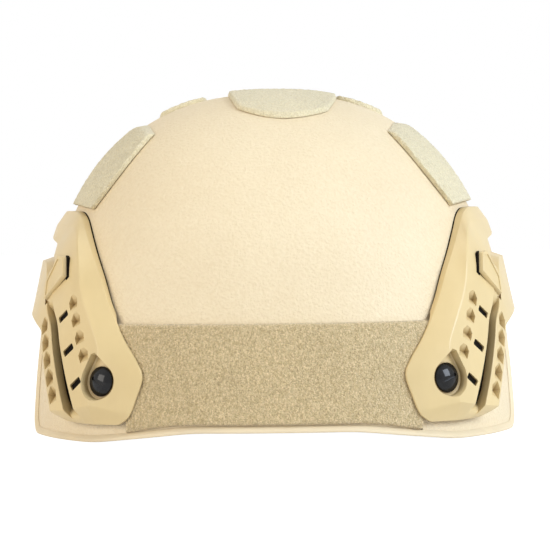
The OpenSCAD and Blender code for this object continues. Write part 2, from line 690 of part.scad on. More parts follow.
// The straps lie folded into the helmet, on a plane that slopes down from the bars
strap_tilt = asin((bar_z - junction_t / 2 - 0.5) / (leg_depth + 3));
module on_straps() translate([bar_x, 0, bar_z]) rotate([0, -strap_tilt, 0]) children();
junction_in = leg_depth - 6;
leg_end_y = 11;
module sleeve(length) rotate([90, 0, 0]) difference() {
    cylinder(d = bar_d + 2 * run_fit + 2 * web_t, h = length, center = true, $fn = 32);
    cylinder(d = bar_d + 2 * run_fit, h = length + 2, center = true, $fn = 32);
}
function leg_start(loop_y) = [-(bar_d / 2 + run_fit + web_t * 0.6), loop_y];
function leg_stop(loop_y) = [-junction_in + 14, sign(loop_y) * leg_end_y];
module along_leg(loop_y) {
    a = leg_start(loop_y);
    run = leg_stop(loop_y) - a;
    translate([a.x, a.y, 0]) rotate(atan2(run.y, run.x)) children();
}
module strap_leg(loop_y) color(tan_pad) on_straps() {
    l = norm(leg_stop(loop_y) - leg_start(loop_y)) + 4;
    difference() {
        union() {
            along_leg(loop_y) translate([-8, -web_w / 2, -web_t / 2]) cube([l + 8, web_w, web_t]);
            translate([0, loop_y, 0]) sleeve(web_w);
        }
        translate([0, loop_y, 0]) rotate([90, 0, 0])
            cylinder(d = bar_d + 2 * run_fit, h = 3 * web_w, center = true, $fn = 32);
        translate([0, loop_y - 2 * web_w, -20]) cube([30, 4 * web_w, 20 - bar_d / 2 - run_fit - web_t]);
        translate([bar_d / 2 + run_fit + web_t, loop_y - 2 * web_w, -20]) cube([30, 4 * web_w, 40]);
    }
}
module strap_front_right() strap_leg(front_loop_y);
module strap_front_left() mirror([1, 0, 0]) strap_leg(front_loop_y);
module strap_rear_right() strap_leg(-rear_loop_y);
module strap_rear_left() mirror([1, 0, 0]) strap_leg(-rear_loop_y);

// Junction: a moulded plate that both legs end in, with the chin strap's bar
chin_bar_h = junction_t / 2 + run_fit + web_t + 0.4 + bar_d / 2;
module junction() color(black_metal) on_straps() difference() {
    union() {
        translate([0, 0, -junction_t / 2]) linear_extrude(height = junction_t)
            polygon([[-junction_in, -18], [-junction_in + 8, -24], [-junction_in + 22, -24],
                [-junction_in + 22, 24], [-junction_in + 8, 24], [-junction_in, 18]]);
        for (side = [-1, 1])
            translate([-leg_depth, side * (chin_w / 2 + 2.4), 0])
                rotate([90, 0, 0]) linear_extrude(height = 3, center = true)
                    polygon([[-3, -junction_t / 2], [9, -junction_t / 2], [9, junction_t / 2],
                        [3, chin_bar_h + 2.4], [-3, chin_bar_h + 2.4]]);
        translate([-leg_depth, 0, chin_bar_h]) rotate([90, 0, 0])
            cylinder(d = bar_d, h = chin_w + 5, center = true, $fn = 32);
    }
    for (loop_y = [front_loop_y, -rear_loop_y]) along_leg(loop_y) {
        l = norm(leg_stop(loop_y) - leg_start(loop_y)) + 4 + seat_fit;
        translate([0, -web_w / 2 - seat_fit, -web_t / 2 - seat_fit])
            cube([l, web_w + 2 * seat_fit, web_t + 2 * seat_fit]);
    }
}
module junction_right() junction();
module junction_left() mirror([1, 0, 0]) junction();

// Adjusters slide along the legs
module adjuster(loop_y) color(black_metal) on_straps() along_leg(loop_y) translate([38, 0, 0])
    difference() {
        translate([-7, -web_w / 2 - 3, -2.2]) cube([14, web_w + 6, 4.4]);
        translate([-10, -web_w / 2 - run_fit, -web_t / 2 - run_fit])
            cube([20, web_w + 2 * run_fit, web_t + 2 * run_fit]);
        for (x = [-4.6, 1]) translate([x, -web_w / 2 - run_fit, 0])
            cube([3.6, web_w + 2 * run_fit, 5]);
    }
module adjuster_front_right() adjuster(front_loop_y);
module adjuster_front_left() mirror([1, 0, 0]) adjuster(front_loop_y);
module adjuster_rear_right() adjuster(-rear_loop_y);
module adjuster_rear_left() mirror([1, 0, 0]) adjuster(-rear_loop_y);

// Chin straps: folded back over the junction, each with half of the buckle
module on_chin() on_straps() translate([-leg_depth, 0, chin_bar_h]) children();
module chin_strap() color(tan_pad) on_chin() {
    sleeve(chin_w);
    translate([bar_d / 2 + run_fit + web_t * 0.4, -chin_w / 2, -web_t / 2]) cube([chin_l, chin_w, web_t]);
}
module chin_strap_right() chin_strap();
module chin_strap_left() mirror([1, 0, 0]) chin_strap();
buckle_at = chin_l - 2;
buckle_l = 22;
buckle_t = 6;
module web_pocket() translate([-1, -chin_w / 2 - seat_fit, -web_t / 2 - seat_fit])
    cube([8, chin_w + 2 * seat_fit, web_t + 2 * seat_fit]);
module buckle_socket() color(black_metal) on_chin() translate([buckle_at, 0, 0]) difference() {
    translate([0, 0, -buckle_t / 2]) linear_extrude(height = buckle_t)
        polygon([[0, -15], [4, -17], [buckle_l, -15], [buckle_l, 15], [4, 17], [0, 15]]);
    web_pocket();
    translate([buckle_l - 14, -11, -2]) cube([20, 22, 4]);
    for (side = [-1, 1]) translate([buckle_l - 11, side * 15 - 3, -2]) cube([8, 6, 4]);
}
module buckle_plug() color(black_metal) mirror([1, 0, 0]) on_chin() translate([buckle_at, 0, 0])
    difference() {
        translate([0, 0, -1.8]) linear_extrude(height = 3.6)
            polygon([[0, -15], [4, -17], [9, -15], [9, -9.5], [16, -10.4], [20, -8.6],
                [21, -6.4], [10, -5.6], [10, -2], [19, -1.4], [19, 1.4], [10, 2], [10, 5.6],
                [21, 6.4], [20, 8.6], [16, 10.4], [9, 9.5], [9, 15], [4, 17], [0, 15]]);
        web_pocket();
    }

shell();
edge_trim();
rear_loop_panel();
crown_loop_patch();
side_loop_patch_right();
side_loop_patch_left();
front_loop_patch_right();
front_loop_patch_left();
rail_right();
rail_left();
rail_bolts_rear();
rail_bolts_front();
rail_nuts_rear();
rail_nuts_front();
crown_pad();
front_pad();
rear_pad();
side_pad_front_right();
side_pad_front_left();
side_pad_rear_right();
side_pad_rear_left();
hook_discs();
shroud();
shroud_screws();
shroud_nuts();
nape_band();
nape_pad();
strap_hangers_front();
strap_hangers_rear();
strap_front_right();
strap_front_left();
strap_rear_right();
strap_rear_left();
junction_right();
junction_left();
chin_strap_right();
chin_strap_left();
adjuster_front_right();
adjuster_front_left();
adjuster_rear_right();
adjuster_rear_left();
buckle_socket();
buckle_plug();
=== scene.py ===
import json
import math
import bpy
import bmesh
import numpy as np
from mathutils import Matrix, Vector, noise
from mathutils.bvhtree import BVHTree


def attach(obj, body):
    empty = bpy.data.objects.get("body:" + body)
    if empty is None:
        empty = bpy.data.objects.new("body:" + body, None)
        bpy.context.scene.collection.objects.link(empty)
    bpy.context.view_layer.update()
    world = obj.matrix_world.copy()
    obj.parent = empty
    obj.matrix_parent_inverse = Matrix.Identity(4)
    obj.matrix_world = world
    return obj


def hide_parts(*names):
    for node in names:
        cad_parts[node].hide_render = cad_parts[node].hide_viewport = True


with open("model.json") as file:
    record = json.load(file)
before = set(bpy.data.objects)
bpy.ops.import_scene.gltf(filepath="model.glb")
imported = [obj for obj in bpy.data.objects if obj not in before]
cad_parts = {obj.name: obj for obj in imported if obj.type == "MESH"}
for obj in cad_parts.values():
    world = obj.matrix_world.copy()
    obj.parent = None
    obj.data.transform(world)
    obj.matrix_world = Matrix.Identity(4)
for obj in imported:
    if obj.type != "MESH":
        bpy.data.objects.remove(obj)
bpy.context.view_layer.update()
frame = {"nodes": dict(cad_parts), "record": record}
cadNodes = frame["nodes"]
bodyOfNode = {n: b for b, group in frame["record"]["behaviour"]["bodies"].items() for n in group}
mm = 0.001
print("frame loaded with", len(cadNodes), "nodes")

view = {
    "position": (0.00105, -1.1954, 0.1046),  # behind the helmet, a hand above the table
    "aim": (0.00105, 0.0, 0.0757),
    "roll": -0.65,
    "lens": 149.2,
    "sensor": 36.0,
}


def makeCamera():
    data = bpy.data.cameras.new("camera")
    data.lens = view["lens"]
    data.sensor_width = view["sensor"]
    data.clip_start = 0.01
    data.clip_end = 50
    cam = bpy.data.objects.new("camera", data)
    cam.location = view["position"]
    direction = Vector(view["aim"]) - Vector(view["position"])
    upright = direction.to_track_quat("-Z", "Y").to_matrix()
    cam.rotation_euler = (upright @ Matrix.Rotation(math.radians(view["roll"]), 3, "Z")).to_euler()
    bpy.context.scene.collection.objects.link(cam)
    bpy.context.scene.camera = cam


makeCamera()
print("camera made")

# The shell's surface. A place on it is [around, height] in millimetres.
shellSize = {
    "halfWidth": 117.5,
    "rearReach": 136.0,
    "frontReach": 136.0,
    "crownHeight": 170.0,
    "wall": 8.0,
    "domeStart": 20.0,
    "domeFullness": 2.42,
    "planFullness": 2.45,
    "rimFlare": 6.5,
    "flareTop": 72.0,
    "rest": 1.7,
    "perDegree": 2.2,
    "seat": 0.3,
    "innerSeat": 0.5,
}
midAround = 90 * shellSize["perDegree"]


def skin(around, height, off):
    s = shellSize
    around, height, off = np.broadcast_arrays(
        np.asarray(around, float), np.asarray(height, float), np.asarray(off, float))
    angle = np.radians(-around / s["perDegree"])
    lift = np.clip((s["flareTop"] - height) / (s["flareTop"] - s["rest"]), 0, None)
    flare = s["rimFlare"] * lift ** 1.2
    halfX = s["halfWidth"] + off + flare
    halfY = np.where(np.sin(angle) < 0, s["rearReach"], s["frontReach"]) + off + flare
    climb = (height - s["domeStart"]) / (s["crownHeight"] - s["domeStart"] + off)
    dome = s["domeFullness"]
    drawIn = np.clip(1 - np.clip(climb, 0, 1) ** dome, 0, 1) ** (1 / dome)
    plan = s["planFullness"]
    spread = (np.abs(np.cos(angle)) / halfX) ** plan + (np.abs(np.sin(angle)) / halfY) ** plan
    r = drawIn / spread ** (1 / plan)
    return np.stack([r * np.cos(angle), r * np.sin(angle), height], -1)


def topSkin(x, y, off):
    s = shellSize
    x, y, off = np.broadcast_arrays(np.asarray(x, float), np.asarray(y, float), np.asarray(off, float))
    halfX = s["halfWidth"] + off
    halfY = np.where(y < 0, s["rearReach"], s["frontReach"]) + off
    plan = s["planFullness"]
    k = (np.abs(x / halfX) ** plan + np.abs(y / halfY) ** plan) ** (1 / plan)
    dome = s["domeFullness"]
    climb = np.clip(1 - k ** dome, 0, 1) ** (1 / dome)
    z = s["domeStart"] + (s["crownHeight"] - s["domeStart"] + off) * climb
    return np.stack([x, y, z], -1)


def unit(v):
    return v / np.linalg.norm(v)


def placeMatrix(around, height):  # +Z out of the shell, +X forward along it
    along = unit(skin(around - 1, height, 0) - skin(around + 1, height, 0))
    out = unit(np.cross(along, skin(around, height + 1, 0) - skin(around, height - 1, 0)))
    m = np.eye(4)
    m[:3, 0], m[:3, 1], m[:3, 2] = along, np.cross(out, along), out
    m[:3, 3] = skin(around, height, 0)
    return m


def depthAt(around, height, off):
    m = placeMatrix(around, height)
    return float((skin(around, height, off) - m[:3, 3]) @ m[:3, 2])


def shift(x, y, z):
    m = np.eye(4)
    m[:3, 3] = x, y, z
    return m


def turn(degrees, axis="z"):
    a, m = math.radians(degrees), np.eye(4)
    i, j = {"x": (1, 2), "y": (2, 0), "z": (0, 1)}[axis]
    m[i, i] = m[j, j] = math.cos(a)
    m[i, j], m[j, i] = -math.sin(a), math.sin(a)
    return m


def moved(points, matrix):
    points = np.asarray(points, float)
    return points @ matrix[:3, :3].T + matrix[:3, 3]


# Mesh helpers
def quadsOf(index):
    return np.stack([index[:-1, :-1], index[:-1, 1:], index[1:, 1:], index[1:, :-1]], -1).reshape(-1, 4)


def meshPiece(name, points, faces, sharp=35):
    mesh = bpy.data.meshes.new(name)
    mesh.from_pydata((np.asarray(points, float) * mm).tolist(), [], [list(map(int, f)) for f in faces])
    piece = bpy.data.objects.new(name, mesh)
    bpy.context.scene.collection.objects.link(piece)
    tidyNormals(piece, sharp)
    return piece


def tidyNormals(piece, sharp=35):
    bm = bmesh.new()
    bm.from_mesh(piece.data)
    bmesh.ops.recalc_face_normals(bm, faces=bm.faces)
    bm.to_mesh(piece.data)
    bm.free()
    shadeSmooth(piece, sharp)


def shadeSmooth(piece, sharp=35):
    piece.data.shade_smooth()
    piece.data.set_sharp_from_angle(angle=math.radians(sharp))


def slabPiece(name, top, bottom, sharp=35):  # two grids joined round their border
    rows, cols = top.shape[:2]
    n = rows * cols
    index = np.arange(n).reshape(rows, cols)
    border = np.concatenate([index[0], index[1:, -1], index[-1, -2::-1], index[-2:0:-1, 0]])
    after = np.roll(border, -1)
    walls = np.stack([border, border + n, after + n, after], -1)
    faces = np.concatenate([quadsOf(index), quadsOf(index + n)[:, ::-1], walls])
    points = np.concatenate([top.reshape(-1, 3), bottom.reshape(-1, 3)])
    return meshPiece(name, points, faces, sharp)


def loftPiece(name, rings, closed=False, sharp=35):  # rings of points, joined one after another
    rings = np.asarray(rings, float)
    k, m = rings.shape[:2]
    index = np.arange(k * m).reshape(k, m)
    index = np.concatenate([index, index[:, :1]], 1)
    faces = []
    if closed:
        index = np.concatenate([index, index[:1]], 0)
    else:
        faces = [list(range(m))[::-1], list(range((k - 1) * m, k * m))]
    return meshPiece(name, rings.reshape(-1, 3), list(quadsOf(index)) + faces, sharp)


def ringAt(outline, z, grow=0.0):  # an outline at height z, grown outward a little
    outline = np.asarray(outline, float)
    centre = outline.mean(0)
    away = outline - centre
    away /= np.linalg.norm(away, axis=1)[:, None]
    flat = outline + away * grow
    return np.column_stack([flat, np.full(len(flat), z)])


def prism(name, outline, levels, matrix=np.eye(4)):  # levels are (height, growth) pairs
    return loftPiece(name, [moved(ringAt(outline, z, g), matrix) for z, g in levels])


def circleOf(turns):
    angles = np.linspace(0, 2 * math.pi, turns, endpoint=False)
    return np.column_stack([np.cos(angles), np.sin(angles)])


def lathe(name, profile, turns, matrix, closed=False, sharp=35):  # profile of (radius, height)
    circle = circleOf(turns)
    rings = [np.column_stack([circle * r, np.full(turns, z)]) for r, z in profile]
    return loftPiece(name, [moved(ring, matrix) for ring in rings], closed, sharp)


def filletCorners(points, radii, steps=4):  # rounds each corner of a closed path, in 2-D or 3-D
    points = np.asarray(points, float)
    n, out = len(points), []
    for i in range(n):
        a, b, c = points[i - 1], points[i], points[(i + 1) % n]
        ab, cb = a - b, c - b
        la, lc = np.linalg.norm(ab), np.linalg.norm(cb)
        u, w = ab / max(la, 1e-9), cb / max(lc, 1e-9)
        half = math.acos(max(-1, min(1, float(u @ w)))) / 2
        r = min(radii[i], 0.45 * min(la, lc) * math.tan(half))
        if r < 1e-4 or half > math.radians(88.5):  # no room for a round, or nearly straight
            reach = min(max(radii[i], 0.01), 0.3 * min(la, lc))
            out += [b + (u * (1 - t) + w * t) * reach * abs(1 - 2 * t) for t in np.linspace(0, 1, steps + 1)]
            continue
        start, end = b + u * r / math.tan(half), b + w * r / math.tan(half)
        centre = b + unit(u + w) * r / math.sin(half)
        sweep = math.pi - 2 * half
        s, e = start - centre, end - centre
        out += [centre + (s * math.sin(sweep * (1 - t)) + e * math.sin(sweep * t)) / math.sin(sweep)
                for t in np.linspace(0, 1, steps + 1)]
    return np.array(out)


def rectangle(halfLong, halfWide, radius, steps):
    corners = [(-halfLong, -halfWide), (halfLong, -halfWide), (halfLong, halfWide), (-halfLong, halfWide)]
    return filletCorners(corners, [radius] * 4, steps)


def bakeModifiers(piece):
    shape = piece.evaluated_get(bpy.context.evaluated_depsgraph_get())
    mesh = bpy.data.meshes.new_from_object(shape)
    piece.modifiers.clear()
    piece.data = mesh
    return piece


def carve(piece, cutters, how="DIFFERENCE", sharp=35):
    for cutter in cutters:
        cut = piece.modifiers.new("cut", "BOOLEAN")
        cut.operation = how
        cut.solver = "MANIFOLD"
        cut.object = cutter
    bakeModifiers(piece)
    for cutter in cutters:
        bpy.data.objects.remove(cutter)
    shadeSmooth(piece, sharp)
    return piece


def mirroredPiece(piece, name):
    mesh = piece.data.copy()
    mesh.transform(((-1, 0, 0, 0), (0, 1, 0, 0), (0, 0, 1, 0), (0, 0, 0, 1)))
    mesh.flip_normals()
    twin = bpy.data.objects.new(name, mesh)
    bpy.context.scene.collection.objects.link(twin)
    return twin


def fit(piece, material, *replaced, slot):
    piece.data.materials.clear()
    piece.data.materials.append(material)
    piece.data.name = piece.name
    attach(piece, bodyOfNode[replaced[0]] if replaced else "helmet")
    if replaced:
        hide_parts(*replaced)
    return piece


def fitPair(right, material, *replaced, slot, sharp=35):  # a right-hand piece and its mirror image
    left = mirroredPiece(right, right.name.replace("right", "left"))
    shadeSmooth(left, sharp)
    fit(right, material, *replaced, slot=slot)
    fit(left, material, *(node.replace("right", "left") for node in replaced), slot=slot)


# Materials
def startMaterial(name, colour, roughness, **sockets):
    material = bpy.data.materials.new(name)
    material.use_nodes = True
    shader = material.node_tree.nodes["Principled BSDF"]
    shader.inputs["Base Color"].default_value = (*colour, 1)
    shader.inputs["Roughness"].default_value = roughness
    for socket, value in sockets.items():
        shader.inputs[socket.replace("_", " ")].default_value = value
    place = material.node_tree.nodes.new("ShaderNodeTexCoord").outputs["Object"]
    return material, material.node_tree, shader, place


def stretched(tree, place, stretch):
    mapping = tree.nodes.new("ShaderNodeMapping")
    mapping.inputs["Scale"].default_value = stretch
    tree.links.new(place, mapping.inputs["Vector"])
    return mapping.outputs["Vector"]


def speckle(tree, place, scale, detail=3.0, rough=0.55):
    node = tree.nodes.new("ShaderNodeTexNoise")
    node.inputs["Scale"].default_value = scale
    node.inputs["Detail"].default_value = detail
    node.inputs["Roughness"].default_value = rough
    tree.links.new(place, node.inputs["Vector"])
    return node.outputs["Fac"]


def cells(tree, place, scale):
    node = tree.nodes.new("ShaderNodeTexVoronoi")
    node.inputs["Scale"].default_value = scale
    tree.links.new(place, node.inputs["Vector"])
    return node.outputs["Distance"]


def threads(tree, place, scale, direction, distortion):
    node = tree.nodes.new("ShaderNodeTexWave")
    node.bands_direction = direction
    node.inputs["Scale"].default_value = scale
    node.inputs["Distortion"].default_value = distortion
    tree.links.new(place, node.inputs["Vector"])
    return node.outputs["Fac"]


def blendValues(tree, a, b, how="MULTIPLY"):
    node = tree.nodes.new("ShaderNodeMath")
    node.operation = how
    for i, value in enumerate((a, b)):
        if isinstance(value, (int, float)):
            node.inputs[i].default_value = value
        else:
            tree.links.new(value, node.inputs[i])
    return node.outputs[0]


def ramp(tree, value, stops):  # stops are (place, colour or grey) pairs
    node = tree.nodes.new("ShaderNodeValToRGB")
    band = node.color_ramp
    while len(band.elements) < len(stops):
        band.elements.new(0.5)
    for element, (at, colour) in zip(band.elements, stops):
        element.position = at
        element.color = (*colour, 1) if isinstance(colour, tuple) else (colour, colour, colour, 1)
    tree.links.new(value, node.inputs["Fac"])
    return node.outputs["Color"]


def tint(tree, under, over, amount, how="MULTIPLY"):
    node = tree.nodes.new("ShaderNodeMix")
    node.data_type = "RGBA"
    node.blend_type = how
    node.inputs["Factor"].default_value = amount
    for socket, value in (("A", under), ("B", over)):
        target = [i for i in node.inputs if i.name == socket and i.type == "RGBA"][0]
        if isinstance(value, tuple):
            target.default_value = (*value, 1)
        else:
            tree.links.new(value, target)
    return [o for o in node.outputs if o.type == "RGBA"][0]


def relief(tree, shader, heights):  # (height, strength, depth in metres), coarse first
    last = None
    for height, strength, depth in heights:
        node = tree.nodes.new("ShaderNodeBump")
        node.inputs["Strength"].default_value = strength
        node.inputs["Distance"].default_value = depth
        tree.links.new(height, node.inputs["Height"])
        if last:
            tree.links.new(last, node.inputs["Normal"])
        last = node.outputs["Normal"]
    tree.links.new(last, shader.inputs["Normal"])


def sandPaint():
    look = {"colour": (0.845, 0.71, 0.48), "dusk": (0.805, 0.663, 0.437), "grainDusk": (0.95, 0.93, 0.89),
            "roughness": 0.5, "shiniest": 0.48, "dullest": 0.6, "grainDepth": 0.0008, "dustDepth": 0.0001}
    material, tree, shader, place = startMaterial("sand paint", look["colour"], look["roughness"])
    cloud = speckle(tree, place, 14, 4)
    grain = speckle(tree, place, 700, 3, 0.6)
    base = ramp(tree, cloud, [(0.3, look["dusk"]), (0.62, look["colour"])])
    base = tint(tree, base, ramp(tree, grain, [(0.35, look["grainDusk"]), (0.6, (1, 1, 1))]), 0.8)
    tree.links.new(base, shader.inputs["Base Color"])
    shine = ramp(tree, speckle(tree, place, 160, 2), [(0.2, look["shiniest"]), (0.8, look["dullest"])])
    tree.links.new(shine, shader.inputs["Roughness"])
    dust = speckle(tree, place, 2100, 2)
    relief(tree, shader, [(grain, 0.9, look["grainDepth"]), (dust, 0.3, look["dustDepth"])])
    return material


def paintedCreaseShade(tree, base, reach, deep):  # painted shade: darker colour from ambient occlusion in creases and deep recesses
    node = tree.nodes.new("ShaderNodeAmbientOcclusion")
    node.samples = 8
    node.inputs["Distance"].default_value = reach
    shade = ramp(tree, node.outputs["AO"], [(0.16, deep), (0.74, (1.0, 1.0, 1.0))])
    return tint(tree, base, shade, 1.0)


def mouldedPlastic(name, colour, dusk, roughness, grainDepth=0.00006, deep=None, gloss=0.5):
    material, tree, shader, place = startMaterial(name, colour, roughness, Specular_IOR_Level=gloss)
    cloud = speckle(tree, place, 22, 4)
    flow = speckle(tree, stretched(tree, place, (1, 1, 0.25)), 60)
    grain = speckle(tree, place, 2600, 2)
    base = ramp(tree, cloud, [(0.3, dusk), (0.65, colour)])
    base = tint(tree, base, ramp(tree, flow, [(0.3, 0.93), (0.6, 1.0)]), 0.7)
    # painted shade in creases and recesses, when a crease colour is given
    if deep:
        base = paintedCreaseShade(tree, base, 0.005, deep)
    tree.links.new(base, shader.inputs["Base Color"])
    tree.links.new(ramp(tree, flow, [(0.2, roughness - 0.06), (0.8, roughness + 0.08)]),
                   shader.inputs["Roughness"])
    relief(tree, shader, [(speckle(tree, place, 420, 2), 0.12, 0.0001), (grain, 0.35, grainDepth)])
    return material


def loopPile(name, colour, dusk, tuftDusk, clumpDusk):
    depth = 0.0005
    material, tree, shader, place = startMaterial(
        name, colour, 0.95, Sheen_Weight=0.35, Sheen_Roughness=0.6, Specular_IOR_Level=0.15)
    tufts = cells(tree, place, 1050)
    fibres = speckle(tree, place, 1700, 4, 0.75)
    clumps = speckle(tree, stretched(tree, place, (1, 1, 0.6)), 900, 3, 0.65)
    cloud = speckle(tree, place, 45)
    base = ramp(tree, fibres, [(0.32, dusk), (0.6, colour)])
    base = tint(tree, base, ramp(tree, tufts, [(0.1, 1.0), (0.75, tuftDusk)]), 0.7)
    base = tint(tree, base, ramp(tree, clumps, [(0.36, clumpDusk), (0.6, (1, 1, 1))]), 0.9)
    base = tint(tree, base, ramp(tree, cloud, [(0.3, 0.9), (0.65, 1.0)]), 0.6)
    tree.links.new(base, shader.inputs["Base Color"])
    relief(tree, shader, [(tufts, 0.9, -depth), (fibres, 0.8, depth)])
    return material


def knitCloth(name, colour, dusk):
    material, tree, shader, place = startMaterial(
        name, colour, 0.9, Sheen_Weight=0.4, Sheen_Roughness=0.5, Specular_IOR_Level=0.2)
    knit = blendValues(tree, threads(tree, place, 330, "X", 1.2), threads(tree, place, 330, "Y", 1.2))
    rib = threads(tree, place, 330, "Z", 1.0)
    fuzz = speckle(tree, place, 1500)
    base = ramp(tree, knit, [(0.0, dusk), (0.6, colour)])
    base = tint(tree, base, ramp(tree, speckle(tree, place, 40), [(0.3, 0.86), (0.65, 1.0)]), 0.8)
    tree.links.new(base, shader.inputs["Base Color"])
    relief(tree, shader, [(knit, 0.6, 0.0003), (rib, 0.4, 0.0002), (fuzz, 0.4, 0.0002)])
    return material


def wovenWebbing(name, colour, dusk, layer=None):
    material, tree, shader, place = startMaterial(
        name, colour, 0.8, Sheen_Weight=0.2, Sheen_Roughness=0.5, Specular_IOR_Level=0.3)
    if layer:  # the weave runs with the strap
        laid = tree.nodes.new("ShaderNodeUVMap")
        laid.uv_map = layer
        place = laid.outputs["UV"]
    weft = threads(tree, place, 260, "Y", 0.4)
    warp = threads(tree, place, 190, "X", 0.4)
    weave = blendValues(tree, weft, warp, "ADD")
    base = ramp(tree, blendValues(tree, weave, 0.5), [(0.15, dusk), (0.7, colour)])
    base = tint(tree, base, ramp(tree, speckle(tree, place, 90, 4), [(0.3, 0.86), (0.65, 1.0)]), 0.8)
    tree.links.new(base, shader.inputs["Base Color"])
    relief(tree, shader, [(weave, 0.7, 0.0003), (speckle(tree, place, 2200, 2), 0.4, 0.0001)])
    return material


def coatedSteel():
    look = {"black": (0.003, 0.003, 0.0035), "scuffed": (0.014, 0.014, 0.015)}
    material, tree, shader, place = startMaterial(
        "black coated steel", look["black"], 0.3, Specular_IOR_Level=0.08, Coat_Weight=0.45,
        Coat_Roughness=0.06)
    scuff = speckle(tree, place, 300, 5, 0.7)
    tree.links.new(ramp(tree, scuff, [(0.35, 0.2), (0.7, 0.42)]), shader.inputs["Roughness"])
    base = ramp(tree, scuff, [(0.5, look["black"]), (0.75, look["scuffed"])])
    tree.links.new(base, shader.inputs["Base Color"])
    relief(tree, shader, [(speckle(tree, place, 900), 0.1, 0.0001)])
    return material


def plainSteel():
    look = {"colour": (0.56, 0.57, 0.59), "dull": (0.48, 0.49, 0.5), "bright": (0.6, 0.61, 0.63)}
    material, tree, shader, place = startMaterial("satin steel", look["colour"], 0.36, Metallic=1.0)
    brushed = speckle(tree, stretched(tree, place, (1, 0.08, 1)), 900)
    tree.links.new(ramp(tree, brushed, [(0.3, 0.28), (0.7, 0.46)]), shader.inputs["Roughness"])
    base = ramp(tree, speckle(tree, place, 60), [(0.3, look["dull"]), (0.7, look["bright"])])
    tree.links.new(base, shader.inputs["Base Color"])
    relief(tree, shader, [(brushed, 0.15, 0.00005)])
    return material


def hookTape():
    look = {"colour": (0.02, 0.02, 0.02), "tips": (0.05, 0.05, 0.05), "between": (0.008, 0.008, 0.008)}
    material, tree, shader, place = startMaterial("black hook tape", look["colour"], 0.7)
    tips = cells(tree, place, 900)
    base = ramp(tree, tips, [(0.1, look["tips"]), (0.6, look["between"])])
    tree.links.new(base, shader.inputs["Base Color"])
    relief(tree, shader, [(tips, 0.9, -0.0006)])
    return material


paint = sandPaint()
rubber = mouldedPlastic("sand rubber trim", colour=(0.83, 0.7, 0.475), dusk=(0.79, 0.655, 0.435),
                        roughness=0.6, grainDepth=0.0001)
# the crease colour given here is painted shade in the rail's creases, slots and grooves
railPlastic = mouldedPlastic("sand moulded plastic", colour=(0.74, 0.575, 0.295), dusk=(0.68, 0.52, 0.255),
                             roughness=0.36, deep=(0.28, 0.19, 0.08))
loopKhaki = loopPile("khaki loop pile", colour=(0.95, 0.76, 0.44), dusk=(0.49, 0.36, 0.175),
                     tuftDusk=0.74, clumpDusk=(0.73, 0.69, 0.6))
loopPale = loopPile("pale sand loop pile", colour=(0.98, 0.88, 0.6), dusk=(0.86, 0.74, 0.47),
                    tuftDusk=0.84, clumpDusk=(0.88, 0.86, 0.8))
padCloth = knitCloth("sand pad cover", colour=(0.56, 0.44, 0.27), dusk=(0.36, 0.27, 0.16))
seamCloth = knitCloth("pad seam tape", colour=(0.42, 0.33, 0.2), dusk=(0.28, 0.21, 0.12))
webbing = wovenWebbing("sand webbing", colour=(0.6, 0.48, 0.3), dusk=(0.36, 0.28, 0.17), layer="weave")
thread = wovenWebbing("sewing thread", colour=(0.66, 0.54, 0.36), dusk=(0.5, 0.4, 0.26))
blackSteel = coatedSteel()
steel = plainSteel()
# real black plastic of the buckles, and also the colour of the painted shadow pieces on the rails
blackPlasticAndShadow = mouldedPlastic("black moulded plastic", colour=(0.007, 0.0048, 0.003),
                              dusk=(0.005, 0.0035, 0.0025), roughness=0.6, gloss=0.05)
hooks = hookTape()
print("materials made")

# Shell
shellMesh = {"rimStep": 2.6, "rows": 64, "cornerPoints": 9}
rimShape = {
    "brow": 22.0, "nape": 7.6, "napeHalf": 34.0, "napeRun": 46.0, "earTop": 49.0,
    "earRear": 48.0, "earFront": 46.0, "earRadius": 14.0, "lean": 7.0,
    "templeRun": (62.0, 110.0), "napeRound": 120.0, "browRound": 50.0,
}


def rimHalf():
    r, rest = rimShape, shellSize["rest"]
    napeRound, earRound, browRound = r["napeRound"], r["earRadius"], r["browRound"]
    corners = [  # around, height, radius
        (midAround, r["nape"], 0), (midAround - r["napeHalf"], r["nape"], napeRound),
        (midAround - r["napeHalf"] - r["napeRun"], rest, napeRound),
        (r["earRear"] + r["lean"], rest, earRound), (r["earRear"] - r["lean"], r["earTop"], earRound),
        (r["lean"] - r["earFront"], r["earTop"], earRound), (-r["earFront"] - r["lean"], rest, earRound),
        (-r["earFront"] - r["templeRun"][0], rest, browRound),
        (-r["earFront"] - r["templeRun"][1], r["brow"], browRound), (-midAround, r["brow"], 0)]
    path = [np.array(corners[0][:2])]
    for i in range(1, len(corners) - 1):
        a, b, c = (np.array(corners[k][:2], float) for k in (i - 1, i, i + 1))
        radius = corners[i][2]
        u, w = unit(a - b), unit(c - b)
        half = math.acos(float(u @ w)) / 2
        centre = b + unit(u + w) * radius / math.sin(half)
        s = b + u * radius / math.tan(half) - centre
        e = b + w * radius / math.tan(half) - centre
        sweep = math.pi - 2 * half
        path += [centre + (s * math.sin(sweep * (1 - t)) + e * math.sin(sweep * t)) / math.sin(sweep)
                 for t in np.linspace(0, 1, shellMesh["cornerPoints"])]
    path.append(np.array(corners[-1][:2]))
    spread = []
    for a, b in zip(path[:-1], path[1:]):
        count = max(1, round(float(np.linalg.norm(b - a)) / shellMesh["rimStep"]))
        spread += [a + (b - a) * k / count for k in range(count)]
    return np.array(spread)


def wholeRim():
    half = rimHalf()
    other = half[:0:-1].copy()
    other[:, 0] = -2 * midAround - other[:, 0]
    return np.concatenate([half, [[-midAround, rimShape["brow"]]], other])


rimPath = wholeRim()


